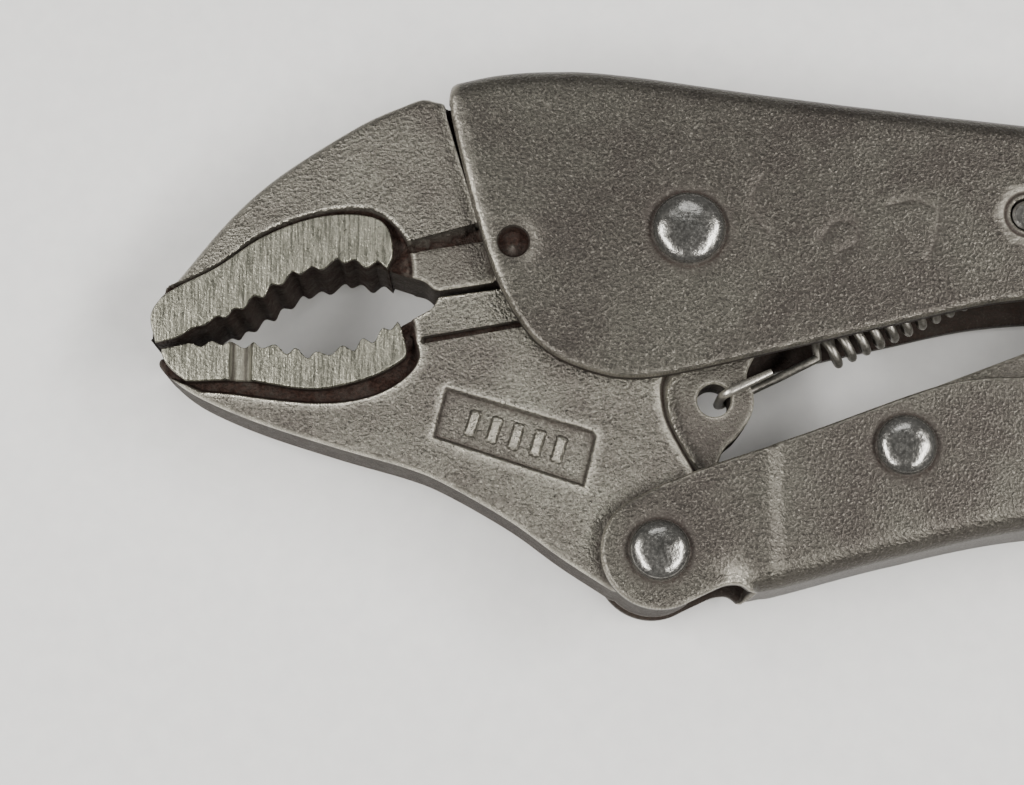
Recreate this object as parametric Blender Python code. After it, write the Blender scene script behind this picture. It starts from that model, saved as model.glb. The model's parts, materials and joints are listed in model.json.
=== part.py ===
"""Locking pliers, about 250 mm (10 in) long, with curved jaws and a wire cutter.

The tool lies on its side: X runs from the jaws' tip to the adjusting knob, Y from the lower
handle to the upper handle, and Z through the thickness. The design frame has its origin on
the main pivot, in the tool's middle plane. The last step moves the whole tool so that the
row's origin is the centre of the footprint, at the level that the tool rests on.
Sizes are in millimetres and become metres where a mesh is made.
"""

import math

import bmesh
import bpy
from mathutils import Matrix, Vector

MM = 0.001

# ---- driving dimensions, in millimetres ---------------------------------------------------

seat_gap = 0.3            # between two pieces that rest on each other
running_gap = 0.3         # radial, between a pin and what turns on it
jaw_reach = 65.3          # main pivot to the jaws' tip
handle_reach = 165.0      # main pivot to the upper handle's tail
roll_length = 20.0        # the part of that tail which is fully rolled round the screw
grip_short = 15.0         # the lower handle stops this far short of the tail
lever_short = 7.0         # and the release lever this far
jaw_half = 5.9            # half the thickness of both jaw forgings
pad_proud = 0.4           # the hardened tooth pads stand this far above the forgings
moat_depth = 1.2          # depth of the sunk band round each pad
land_depth = 1.0          # depth of the flat lands beside the wire cutter
tongue_half = 2.9         # the thin tongue that takes the spring's hook
plate_depth = 0.45        # depth of the blank name panel
upper_wall = 2.2          # sheet of the upper handle
lower_wall = 2.1          # sheet of the lower handle
bend_radius = 3.0         # outside radius of the handles' long bends
grip_swell = 0.8          # the lower handle's sides step outward by this behind its ears
link_play = 0.7           # each side, between the toggle link and the upper handle
lever_half = 3.2
thumb_play = 1.4          # each side, between the lever's thumb pad and the lower handle

main_pin_radius = 3.4
small_pin_radius = 2.6
lever_pin_radius = 2.0
anchor_pin_radius = 1.8
main_rim = 1.0            # how far a rivet's head reaches past its shank
small_rim = 0.95
lever_rim = 0.9
main_dome = 1.7
small_dome = 1.5
lever_dome = 0.8

boss_radius = 12.6        # the moving jaw's round boss on the main pivot
jaw_foot_radius = 6.6     # the moving jaw's round end on the lower pivot
ear_radius = 6.9          # the lower handle's ears round the lower pivot
link_foot_radius = 5.8
link_nose_radius = 3.8
toggle_end_gap = 2.8      # the linkage is open here: link nose to screw tip
lever_boss_radius = 4.4
stake_radius = 1.9        # the punched recess in each side of the upper handle
stake_depth = 1.1

screw_radius = 4.7
screw_tip_length = 4.0
knob_radius = 7.2
knob_length = 16.5
knob_gap = 4.0            # bare thread between the tail and the knob
knob_ridges = 24

wire_radius = 0.55
hook_play = 1.5           # the hook's hole is this much larger than the wire, in radius
coil_radius = 2.0         # to the middle of the wire
coil_turns = 13
coil_pitch = 1.94
hook_lead = 15.0          # from the hook's hole to the first coil
hook_slope = 5.0          # the last part of that, where the wire rises to the coils
hook_end = 6.4            # the cut end that lies on the tongue
hook_bend = 1.3           # bend radius at each face of the tongue

tooth_count = 12
tooth_depth = 0.95

# pivots, in the design frame
main_pivot = Vector((0.0, 0.0))
jaw_handle_pivot = Vector((-4.1, -39.0))
link_pivot = Vector((25.1, -26.7))
toggle_point = Vector((86.0, -1.7))
lever_pivot = Vector((82.0, -26.6))
hook_hole = Vector((3.2, -20.0))
spring_anchor = Vector((41.1, 1.8))
stake = Vector((-21.2, -1.5))
screw_slope = math.radians(-4.6)
spring_slope = math.radians(24.8)

# values that follow from them
pad_half = jaw_half + pad_proud
channel_half = jaw_half + seat_gap
upper_half = channel_half + upper_wall
ear_half = channel_half + lower_wall
grip_half = ear_half + grip_swell
link_half = channel_half - link_play
thumb_half = grip_half - lower_wall - thumb_play
tail_radius = screw_radius + running_gap + upper_wall
screw_line = Vector((math.cos(screw_slope), math.sin(screw_slope)))
handle_front = -28.8      # where the upper handle's front edge starts
web_start = 7.3           # ahead of this the lower handle is two ears with no web
roll_end = handle_reach - roll_length
grip_tail = handle_reach - grip_short
lever_tail = handle_reach - lever_short


# ---- outlines -----------------------------------------------------------------------------

def through(points, steps=4):
    """A smooth open curve through the points (Catmull-Rom)."""
    knots = [Vector(p) for p in points]
    knots = [2 * knots[0] - knots[1], *knots, 2 * knots[-1] - knots[-2]]
    curve = []
    for a, b, c, d in zip(knots, knots[1:], knots[2:], knots[3:]):
        for step in range(steps):
            t = step / steps
            curve.append(0.5 * (2 * b + (c - a) * t + (2 * a - 5 * b + 4 * c - d) * t ** 2
                                + (3 * b - a - 3 * c + d) * t ** 3))
    return curve + [knots[-2]]


def arc(centre, radius, start, end, steps):
    """Points on an arc, angles in degrees."""
    angles = [math.radians(start + (end - start) * i / steps) for i in range(steps + 1)]
    return [Vector(centre) + radius * Vector((math.cos(a), math.sin(a))) for a in angles]


def ahead(share, height):
    """A point on a jaw, at a share of the way from the upper handle's front to the jaws' tip."""
    return Vector((handle_front - share * (jaw_reach + handle_front), height))


def toothed(points, count, depth):
    """Points spread evenly along a curve, with a valley to its left between each two."""
    curve = through(points, 12)
    lengths = [0.0]
    for a, b in zip(curve, curve[1:]):
        lengths.append(lengths[-1] + (b - a).length)
    found = []
    last = 0
    for step in range(2 * count + 1):
        want = lengths[-1] * step / (2 * count)
        while last < len(curve) - 2 and lengths[last + 1] < want:
            last += 1
        share = (want - lengths[last]) / (lengths[last + 1] - lengths[last])
        along = curve[last + 1] - curve[last]
        point = curve[last] + share * along
        if step % 2:
            point = point + depth * Vector((-along.y, along.x)).normalized()
        found.append(point)
    return found


def line_y(points, x):
    """Height at x of the smooth curve through points that run along X."""
    curve = through(points, 8)
    for a, b in zip(curve, curve[1:]):
        if a.x <= x <= b.x:
            return a.y + (b.y - a.y) * (x - a.x) / (b.x - a.x)
    return curve[0].y if x < curve[0].x else curve[-1].y


# ---- mesh tools ---------------------------------------------------------------------------

def finished(name, mesh, sharp=35):
    obj = bpy.data.objects.new(name, mesh)
    bpy.context.scene.collection.objects.link(obj)
    mesh.shade_smooth()
    mesh.set_sharp_from_angle(angle=math.radians(sharp))
    return obj


def from_bmesh(name, shape):
    bmesh.ops.recalc_face_normals(shape, faces=shape.faces)
    mesh = bpy.data.meshes.new(name)
    shape.to_mesh(mesh)
    shape.free()
    return finished(name, mesh)


def prism(name, outline, low, high):
    """A flat outline carried from one z to another."""
    shape = bmesh.new()
    ring = [shape.verts.new((p[0] * MM, p[1] * MM, low * MM)) for p in outline]
    base = shape.faces.new(ring)
    raised = bmesh.ops.extrude_face_region(shape, geom=[base])["geom"]
    tops = [item for item in raised if isinstance(item, bmesh.types.BMVert)]
    bmesh.ops.translate(shape, vec=(0, 0, (high - low) * MM), verts=tops)
    return from_bmesh(name, shape)


def cylinder(name, centre, radius, low, high, steps=32):
    """A round solid whose corners stay off its centre's X and Y lines, for clean cuts."""
    turn = 360 / steps
    return prism(name, arc(centre, radius, turn / 2, 360 - turn / 2, steps - 1), low, high)


def combine(target, tool, operation):
    """Joins, cuts or keeps what two solids share, and removes the second."""
    modifier = target.modifiers.new("combine", "BOOLEAN")
    modifier.operation = operation
    modifier.solver = "EXACT"
    modifier.object = tool
    graph = bpy.context.evaluated_depsgraph_get()
    mesh = bpy.data.meshes.new_from_object(target.evaluated_get(graph))
    mesh.name = target.name
    target.modifiers.clear()
    target.data = mesh
    bpy.data.objects.remove(tool)
    mesh.shade_smooth()
    mesh.set_sharp_from_angle(angle=math.radians(35))


def lower_to(target, outline, level):
    """Cuts both faces of a forging down to a level, inside an outline."""
    above = 2 * pad_half
    combine(target, prism("above", outline, level, above), "DIFFERENCE")
    combine(target, prism("below", outline, -above, -level), "DIFFERENCE")


def drill(target, centre, radius):
    deep = 2 * grip_half
    combine(target, cylinder("drill", centre, radius, -deep, deep), "DIFFERENCE")


def turned(name, profile, steps=24):
    """A solid turned about Z from (radius, height) points that start and end on the axis."""
    shape = bmesh.new()
    verts = [shape.verts.new((r * MM, 0, z * MM)) for r, z in profile]
    for a, b in zip(verts, verts[1:]):
        shape.edges.new((a, b))
    bmesh.ops.spin(shape, geom=shape.verts[:] + shape.edges[:], cent=(0, 0, 0), axis=(0, 0, 1),
                   angle=math.tau, steps=steps, use_duplicate=False)
    bmesh.ops.remove_doubles(shape, verts=shape.verts, dist=0.001 * MM)
    return from_bmesh(name, shape)


def headed_pin(name, pin_radius, rim, dome, face, steps=24):
    """A rivet with a low dome on each side, resting on faces at plus and minus `face`."""
    head_radius = pin_radius + rim
    under = face + seat_gap
    curve = 5
    half = [(pin_radius, under)]
    for step in range(curve):
        a = math.pi / 2 * step / curve
        half.append((head_radius * math.cos(a), under + dome * math.sin(a) ** 0.9))
    half.append((0, under + dome))
    profile = [(r, -z) for r, z in reversed(half)] + half
    return turned(name, profile, steps)


def move_origin(obj, point):
    """Puts an object's origin on a joint's axis and leaves its shape where it is."""
    place = Vector((point[0] * MM, point[1] * MM, 0))
    obj.data.transform(Matrix.Translation(-place))
    obj.location = place


def paint(obj, colour, roughness, metallic):
    material = bpy.data.materials.new(obj.name)
    material.use_nodes = True
    shader = material.node_tree.nodes["Principled BSDF"]
    shader.inputs["Base Color"].default_value = (*colour, 1)
    shader.inputs["Roughness"].default_value = roughness
    shader.inputs["Metallic"].default_value = metallic
    material.diffuse_color = (*colour, 1)
    obj.data.materials.clear()
    obj.data.materials.append(material)


# ---- pressed channels ---------------------------------------------------------------------

def section(half, radius, wall, straight, curl_length, curl):
    """One cut through a pressed channel, as (z, drop) pairs along its outside and its inside."""
    flat = half - radius
    outer = [(0.0, 0.0)]
    inner = [(0.0, wall)]
    steps = 5
    for step in range(steps + 1):
        a = math.pi / 2 * step / steps
        for points, r in ((outer, radius), (inner, radius - wall)):
            points.append((flat + r * math.sin(a), radius - r * math.cos(a)))
    curl_radius = curl_length / curl
    for step in range(steps + 1):
        a = curl * step / steps
        for points, r in ((outer, curl_radius), (inner, curl_radius - wall)):
            points.append((half - curl_radius + r * math.cos(a),
                           radius + straight + r * math.sin(a)))
    outside = [(-z, d) for z, d in outer[:0:-1]] + outer
    inside = [(-z, d) for z, d in inner[:0:-1]] + inner
    return outside + inside[::-1]


def channel(name, stations, side):
    """A pressed channel through (x, web height, section) stations; side is -1 for a top web."""
    shape = bmesh.new()
    rings = []
    for x, web, cut in stations:
        rings.append([shape.verts.new((x * MM, (web + side * d) * MM, z * MM)) for z, d in cut])
    count = len(rings[0])
    for a, b in zip(rings, rings[1:]):
        for i in range(count):
            j = (i + 1) % count
            shape.faces.new((a[i], a[j], b[j], b[i]))
    for ring in (rings[0], rings[-1]):
        for i in range(count // 2 - 1):
            shape.faces.new((ring[i], ring[i + 1], ring[count - 2 - i], ring[count - 1 - i]))
    return from_bmesh(name, shape)


# ---- upper handle and what is fixed to it -------------------------------------------------

def screw_y(x):
    return toggle_point.y + (x - toggle_point.x) * math.tan(screw_slope)


def upper_top(x):
    """Outer height of the upper handle's web: a smooth back that runs into the round tail."""
    back = [(handle_front - 3, 18.2), (handle_front, 19.2), (-23.0, 20.5), (-16.5, 20.95),
            (-8.0, 20.5), (14.4, 17.3), (42.0, 13.9), (roll_end - 50, 8.4),
            (roll_end, screw_y(roll_end) + tail_radius),
            (handle_reach, screw_y(handle_reach) + tail_radius)]
    return line_y(back, x)


def make_upper_handle():
    """The pressed channel that holds the fixed jaw, and is rolled round the screw at its tail."""
    roll_start = roll_end - 28
    curl = math.radians(72)
    curl_length = tail_radius * curl
    stations = []
    for x in (-33, -30, -28, -25, -21, -16, -9, 2, 14, 28, 43, 65, 90):
        cut = section(upper_half, bend_radius, upper_wall, 40, curl_length, 0.001)
        stations.append((x, upper_top(x), cut))
    rolls = 5
    for step in range(rolls + 1):
        t = step / rolls
        ease = t * t * (3 - 2 * t)
        x = roll_start + (roll_end - roll_start) * t
        half = upper_half + (tail_radius - upper_half) * ease
        radius = bend_radius + (tail_radius - 0.05 - bend_radius) * ease
        straight = 4.6 * (1 - ease) + 0.1
        cut = section(half, radius, upper_wall, straight, curl_length, 0.001 + curl * ease)
        stations.append((x, upper_top(x), cut))
    stations.append((handle_reach, upper_top(handle_reach), cut))
    handle = channel("upper_handle", stations, -1)

    front = through([(handle_front, 16.8), (-28.0, 12.5), (-25.2, 1.1), (-22.3, -7.4),
                     (-18.1, -14.0), (-12.1, -17.3), (-4.9, -18.1), (8.2, -15.4), (25.1, -11.5),
                     (40.0, -8.6), (60.0, -8.3), (90.0, -10.4), (roll_start + 4, -13.2),
                     (roll_start + 10, -20.0)], 5)
    nose = [Vector((handle_front + 1.2, 24)), Vector((handle_front + 0.3, 19.3))]
    end = [Vector((handle_reach - 5, -30)), Vector((handle_reach - 0.5, -25)),
           Vector((handle_reach + 5, 24))]
    trim = prism("trim", nose + front + end, -2 * upper_half, 2 * upper_half)
    combine(handle, trim, "INTERSECT")
    drill(handle, main_pivot, main_pin_radius + running_gap)
    drill(handle, spring_anchor, anchor_pin_radius + running_gap)
    for face in (-1, 1):
        dent = cylinder("dent", stake, stake_radius, upper_half - stake_depth, upper_half + 1)
        if face < 0:
            dent.data.transform(Matrix.Scale(-1, 4, (0, 0, 1)))
            dent.data.flip_normals()
        combine(handle, dent, "DIFFERENCE")
    return handle


def upper_tooth_line():
    return [ahead(0.985, -13.6), ahead(0.80, -11.0), ahead(0.62, -7.9), ahead(0.50, -5.0),
            ahead(0.35, -3.75), ahead(0.21, -4.3)]


def make_fixed_jaw():
    """The upper jaw: a forging whose root fills the front of the upper handle."""
    back = through([ahead(0.999, -12.9), ahead(0.998, -9.7), ahead(0.985, -7.8),
                    ahead(0.915, -4.9), ahead(0.75, 2.5), ahead(0.58, 8.1), ahead(0.325, 14.1),
                    ahead(0.19, 16.4), ahead(0.105, 17.6), ahead(0.06, 17.4)], 4)
    under_web = upper_wall + seat_gap
    root = [Vector((x, upper_top(x) - under_web)) for x in (handle_front + 0.2, -25, -18, -11, -6)]
    rear = arc(main_pivot, boss_radius + 2 * seat_gap, 104, 198, 14)
    throat = [ahead(0.04, -6.75), ahead(0.06, -6.5), ahead(0.09, -5.6), ahead(0.13, -5.15)]
    bottom = [ahead(0.18, -5.0), ahead(0.35, -5.0), ahead(0.5, -6.3), ahead(0.62, -9.0),
              ahead(0.8, -12.2), ahead(0.95, -13.5)]
    # The body stops short of the teeth, which belong to the pad.
    inside = [p + Vector((0, 1.9)) for p in bottom[1:]]
    outline = back + root + rear + throat + inside
    jaw = prism("fixed_jaw", outline, -jaw_half, jaw_half)

    moat = through([ahead(1.02, -6.6), ahead(0.93, -6.1), ahead(0.78, -3.5), ahead(0.64, 0.2),
                    ahead(0.49, 2.5), ahead(0.34, 3.5), ahead(0.25, 3.0), ahead(0.175, 0.9),
                    ahead(0.13, -2.2), ahead(0.12, -7.0)], 4)
    lower_to(jaw, moat + [ahead(0.5, -16.0), ahead(1.05, -18.0)], jaw_half - moat_depth)
    land = [ahead(0.14, -1.6), (-25.3, 0.95), (-20.0, 2.4), (-20.0, -8.0), ahead(0.15, -8.0)]
    lower_to(jaw, land, jaw_half - land_depth)

    pad = through([ahead(0.985, -13.6), ahead(0.995, -10.6), ahead(0.975, -8.6),
                   ahead(0.92, -6.9), ahead(0.78, -4.2), ahead(0.64, -0.6), ahead(0.49, 1.75),
                   ahead(0.36, 2.5), ahead(0.26, 2.1), ahead(0.215, 0.9), ahead(0.195, -1.2),
                   ahead(0.195, -3.1)], 3)
    teeth = [p for p in toothed(upper_tooth_line(), tooth_count, tooth_depth)][::-1]
    pad_solid = prism("pad", pad + teeth[:-1], -pad_half, pad_half)
    combine(jaw, pad_solid, "UNION")
    return jaw


def make_main_rivet():
    return headed_pin("main_rivet", main_pin_radius, main_rim, main_dome, upper_half)


def make_spring_anchor():
    """The cross pin that the spring's rear hook holds, flush with the handle's sides."""
    half = upper_half - 0.1
    return cylinder("spring_anchor_pin", spring_anchor, anchor_pin_radius, -half, half, 24)


# ---- moving jaw ---------------------------------------------------------------------------

def make_moving_jaw():
    """The lower jaw, with its boss, the tongue for the spring's hook, and its lower foot."""
    throat = [ahead(0.16, -11.0), ahead(0.11, -10.0), ahead(0.065, -9.0), ahead(0.04, -7.6)]
    cutter_end = Vector((-12.6, -5.15))
    boss = arc(main_pivot, boss_radius, 203, -42, 28)
    tongue = through([(9.4, -12.6), (7.3, -16.7), (8.1, -19.4), (7.7, -21.9), (6.0, -24.4),
                      (4.2, -26.2), (3.3, -29.0), (2.7, -33.0)], 4)
    foot = arc(jaw_handle_pivot, jaw_foot_radius, 15, -135, 14)
    belly = through([(-9.6, -43.4), (-15.6, -39.5), (-21.5, -35.2), (-28.9, -30.9),
                     ahead(0.135, -28.8), ahead(0.37, -26.3), ahead(0.64, -23.1),
                     ahead(0.83, -20.1), ahead(0.93, -17.6), ahead(0.972, -15.9),
                     ahead(0.965, -14.9)], 4)
    line = [ahead(0.90, -13.6), ahead(0.6, -14.4), ahead(0.45, -15.8), ahead(0.3, -15.0)]
    inside = [p - Vector((0, 1.2)) for p in line]
    outline = belly + inside + throat + [cutter_end] + boss + tongue + foot
    jaw = prism("moving_jaw", outline, -jaw_half, jaw_half)

    moat = through([ahead(0.82, -19.7), ahead(0.72, -20.0), ahead(0.60, -20.6),
                    ahead(0.45, -21.1), ahead(0.34, -20.9), ahead(0.24, -20.0),
                    ahead(0.165, -18.5), ahead(0.12, -16.9), ahead(0.10, -15.2),
                    ahead(0.11, -13.0)], 3)
    rim = [ahead(0.12, -9.0), ahead(0.5, -9.0), ahead(1.05, -10.0), ahead(1.05, -17.0),
           ahead(0.93, -17.9)]
    lower_to(jaw, moat + rim, jaw_half - moat_depth)
    land = [ahead(0.1, -13.4), (-19.0, -11.35), (-16.0, -10.9), (-16.0, -3.0), ahead(0.1, -3.0)]
    lower_to(jaw, land, jaw_half - land_depth)
    recess = through([(-2.6, -16.6), (-3.4, -18.6), (-3.4, -20.8), (-2.9, -23.1), (-1.8, -25.5),
                      (0.3, -29.3), (2.6, -33.6)], 4)
    lower_to(jaw, recess + [(14, -33), (14, -12.8), (4.0, -12.8)], tongue_half)
    plate = [(-29.3, -19.1), (-11.8, -24.4), (-10.6, -25.3), (-12.8, -31.1), (-30.8, -25.1)]
    lower_to(jaw, plate, jaw_half - plate_depth)

    bottom = through([ahead(0.955, -14.3), ahead(0.95, -15.3), ahead(0.93, -16.5),
                      ahead(0.885, -17.9), ahead(0.85, -18.3), ahead(0.69, -18.15),
                      ahead(0.6, -18.6), ahead(0.5, -19.2), ahead(0.4, -19.15),
                      ahead(0.26, -17.8), ahead(0.165, -15.9), ahead(0.145, -14.7),
                      ahead(0.16, -12.2), ahead(0.17, -11.1)], 3)
    ridge = [ahead(0.17, -11.1), ahead(0.23, -11.8), ahead(0.30, -12.95), ahead(0.37, -13.95),
             ahead(0.455, -14.7), ahead(0.53, -14.2), ahead(0.68, -13.45), ahead(0.83, -13.4),
             ahead(0.955, -14.3)]
    teeth = toothed(ridge, tooth_count, tooth_depth)
    combine(jaw, prism("pad", bottom + teeth[1:-1], -pad_half, pad_half), "UNION")

    drill(jaw, main_pivot, main_pin_radius + running_gap)
    drill(jaw, jaw_handle_pivot, small_pin_radius + running_gap)
    drill(jaw, hook_hole, wire_radius + hook_play)
    move_origin(jaw, main_pivot)
    return jaw


def make_jaw_rivet():
    rivet = headed_pin("jaw_rivet", small_pin_radius, small_rim, small_dome, ear_half)
    rivet.location = (jaw_handle_pivot.x * MM, jaw_handle_pivot.y * MM, 0)
    return rivet


# ---- lower handle, toggle link and release lever ------------------------------------------

def lower_web(x):
    """Outer height of the lower handle's web; ahead of its start the web is cut away."""
    tail = grip_tail
    if x < web_start:
        return -62.0
    return line_y([(web_start, -43.8), (12.6, -42.7), (24.5, -39.6), (39.4, -36.5),
                   (60.0, -34.6), (80.0, -33.8), (tail - 48, -32.9), (tail - 28, -33.1),
                   (tail - 11, -35.6), (tail + 3, -40.5)], x)


def make_lower_handle():
    """The pressed lower lever: two ears ahead of the web, and a flared tail."""
    tail = grip_tail
    stations = []
    for x, swell in ((-14, 0), (web_start - 0.3, 0), (web_start, 0), (8.8, 0), (9.9, 0.5),
                     (11.0, 1), (24, 1),
                     (40, 1), (60, 1), (80, 1), (100, 1), (tail - 34, 1), (tail - 22, 1),
                     (tail - 11, 1), (tail - 4, 1), (tail + 3, 1)):
        half = ear_half + grip_swell * swell
        cut = section(half, bend_radius, lower_wall, 50, 2, 0.001)
        stations.append((x, lower_web(x), cut))
    handle = channel("lower_handle", stations, 1)

    ear = arc(jaw_handle_pivot, ear_radius, -60, -252, 26)
    top = through([(-3.7, -31.1), (3.2, -28.5), (12.6, -25.4), (24.6, -21.0), (30.6, -19.1),
                   (35.0, -18.45), (40.0, -18.4), (60.0, -19.0), (80.0, -19.8),
                   (tail - 50, -20.8), (tail - 30, -22.6), (tail - 12, -26.3),
                   (tail - 2, -31.0)], 4)
    tip = [Vector((tail + 1, -33.5)), Vector((tail + 2, -37)), Vector((tail + 1, -42)),
           Vector((tail - 4, -70)), Vector((web_start + 0.3, -70))]
    notch = through([(web_start + 0.2, -44.7), (6.4, -43.8), (5.2, -43.0), (3.5, -43.1),
                     (1.6, -43.9)], 3)
    trim = prism("trim", ear + top + tip + notch, -2 * grip_half, 2 * grip_half)
    combine(handle, trim, "INTERSECT")
    drill(handle, jaw_handle_pivot, small_pin_radius + running_gap)
    drill(handle, link_pivot, small_pin_radius + running_gap)
    drill(handle, lever_pivot, lever_pin_radius + running_gap)
    move_origin(handle, jaw_handle_pivot)
    return handle


def make_link_rivet():
    rivet = headed_pin("link_rivet", small_pin_radius, small_rim, small_dome, grip_half)
    rivet.location = (link_pivot.x * MM, link_pivot.y * MM, 0)
    return rivet


def make_lever_pin():
    pin = headed_pin("lever_pin", lever_pin_radius, lever_rim, lever_dome, grip_half)
    pin.location = (lever_pivot.x * MM, lever_pivot.y * MM, 0)
    return pin


def make_toggle_link():
    """The forged strut between the lower handle and the screw's tip."""
    run = toggle_point - link_pivot
    slope = math.degrees(math.atan2(run.y, run.x))
    waist = 0.55
    middle = link_pivot + waist * run
    across = Vector((-run.y, run.x)).normalized()
    foot = arc(link_pivot, link_foot_radius, slope + 90, slope + 270, 14)
    nose = arc(toggle_point, link_nose_radius, slope - 90, slope + 90, 10)
    belly = 4.7
    link = prism("toggle_link", foot + [middle - belly * across] + nose + [middle + belly * across],
                 -link_half, link_half)
    drill(link, link_pivot, small_pin_radius + running_gap)
    move_origin(link, link_pivot)
    return link


def make_release_lever():
    """The small lever in the lower handle that knocks the link back over its dead centre."""
    tail = lever_tail
    boss = arc(lever_pivot, lever_boss_radius, 235, 300, 5)
    under = through([(97.0, -27.2), (118.0, -25.4), (tail - 22, -25.2), (tail - 8, -24.2),
                     (tail, -20.6)], 4)
    over = through([(tail + 0.4, -18.2), (tail - 1.6, -17.8), (tail - 9, -20.6),
                    (tail - 20, -20.9), (118.0, -20.4), (97.0, -21.4), (86.0, -22.0),
                    (72.0, -23.0), (60.0, -24.0), (52.0, -24.8)], 4)
    nose = arc((51.5, -26.6), 1.8, 100, 260, 6)
    lower = through([(60.0, -28.8), (71.0, -30.0)], 3)
    lever = prism("release_lever", boss + under + over + nose + lower, -lever_half, lever_half)
    thumb = through([(tail - 22, -25.1), (tail - 8, -24.1), (tail - 0.1, -20.6),
                     (tail + 0.2, -18.3), (tail - 1.6, -17.9), (tail - 9, -20.7),
                     (tail - 20, -21.0)], 4)
    combine(lever, prism("thumb", thumb, -thumb_half, thumb_half), "UNION")
    drill(lever, lever_pivot, lever_pin_radius + running_gap)
    move_origin(lever, lever_pivot)
    return lever


# ---- adjusting screw ----------------------------------------------------------------------

def along_screw(obj, start):
    """Lays a piece that was turned about Z along the screw's line, from a distance past D."""
    place = toggle_point + start * screw_line
    turn = Matrix.Rotation(screw_slope, 4, "Z") @ Matrix.Rotation(math.pi / 2, 4, "Y")
    obj.matrix_world = Matrix.Translation((place.x * MM, place.y * MM, 0)) @ turn
    return obj


def make_screw_tip():
    """The domed end that the link's nose bears on."""
    dome = 2.4
    profile = [(0, 0)]
    for degrees in (20, 40, 60, 90):
        a = math.radians(degrees)
        profile.append((screw_radius * math.sin(a), dome * (1 - math.cos(a))))
    profile += [(screw_radius, screw_tip_length), (0, screw_tip_length)]
    tip = turned("screw_tip", profile[::-1], 24)
    return along_screw(tip, link_nose_radius + toggle_end_gap)


def make_adjusting_screw():
    """The long screw, with a ridged knob on its outer end."""
    start = link_nose_radius + toggle_end_gap + screw_tip_length + seat_gap
    tail = (handle_reach - toggle_point.x) / screw_line.x
    neck = tail + knob_gap - start
    end = neck + knob_length
    profile = [(0, 0), (screw_radius - 0.4, 0), (screw_radius, 0.5), (screw_radius, neck),
               (knob_radius - 1.2, neck), (knob_radius, neck + 1.2), (knob_radius, end - 1.4),
               (knob_radius - 1.4, end), (3.0, end), (2.6, end - 2.5), (0, end - 2.5)]
    screw = turned("adjusting_screw", profile[::-1], knob_ridges * 2)
    for vert in screw.data.vertices:
        r = math.hypot(vert.co.x, vert.co.y)
        turn = round(math.atan2(vert.co.y, vert.co.x) / math.tau * knob_ridges * 2)
        if r > (knob_radius - 0.2) * MM and turn % 2:
            vert.co.x *= 1 - 0.5 * MM / r
            vert.co.y *= 1 - 0.5 * MM / r
    return along_screw(screw, start)


# ---- return spring ------------------------------------------------------------------------

def spring_route():
    """The spring's wire: cut end, hook through the tongue, lead below it, coils, rear loop."""
    forward = Vector((math.cos(spring_slope), math.sin(spring_slope), 0))
    sideways = Vector((-forward.y, forward.x, 0))
    upward = Vector((0, 0, 1))
    hole = Vector((hook_hole.x, hook_hole.y, 0))
    # The pull of the coils holds the hook against the hole's forward side.
    bore = hole + forward * (hook_play - seat_gap)
    over = tongue_half + seat_gap + wire_radius
    route = [bore + upward * over + forward * hook_end]
    for side in (1, -1):
        for step in range(5):
            a = math.pi / 2 * (step if side < 0 else 4 - step) / 4
            route.append(bore + side * upward * (over - hook_bend * (1 - math.sin(a)))
                         + forward * hook_bend * (1 - math.cos(a)))
    coils = hole + forward * hook_lead
    route.append(coils - upward * over - forward * hook_slope)
    per_turn = 10
    for step in range(coil_turns * per_turn + 1):
        a = math.tau * step / per_turn
        route.append(coils + forward * coil_pitch * step / per_turn
                     - coil_radius * (upward * math.cos(a) - sideways * math.sin(a)))
    # The rear end leaves the coil's lower side and wraps the anchor pin.
    pin = Vector((spring_anchor.x, spring_anchor.y, 0))
    loop = anchor_pin_radius + wire_radius + seat_gap
    for step in range(9):
        a = -math.pi / 2 + math.pi * 1.15 * step / 8
        route.append(pin + loop * (forward * math.cos(a) + sideways * math.sin(a)))
    return route


def make_return_spring():
    curve = bpy.data.curves.new("return_spring", "CURVE")
    curve.dimensions = "3D"
    curve.bevel_depth = wire_radius * MM
    curve.bevel_resolution = 1
    curve.use_fill_caps = True
    route = spring_route()
    spline = curve.splines.new("POLY")
    spline.points.add(len(route) - 1)
    for point, place in zip(spline.points, route):
        point.co = (*(place * MM), 1)
    spring = bpy.data.objects.new("return_spring", curve)
    bpy.context.scene.collection.objects.link(spring)
    return spring


# ---- assembly -----------------------------------------------------------------------------

def stand_on_footprint(objects):
    """Moves the tool so that its footprint's centre is the origin, at the height it rests on."""
    graph = bpy.context.evaluated_depsgraph_get()
    corners = []
    for obj in objects:
        evaluated = obj.evaluated_get(graph)
        mesh = evaluated.to_mesh()
        corners += [evaluated.matrix_world @ v.co for v in mesh.vertices]
        evaluated.to_mesh_clear()
    low = Vector([min(c[i] for c in corners) for i in range(3)])
    high = Vector([max(c[i] for c in corners) for i in range(3)])
    shift = Vector((-(low.x + high.x) / 2, -(low.y + high.y) / 2, -low.z))
    for obj in objects:
        obj.matrix_world = Matrix.Translation(shift) @ obj.matrix_world


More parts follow.
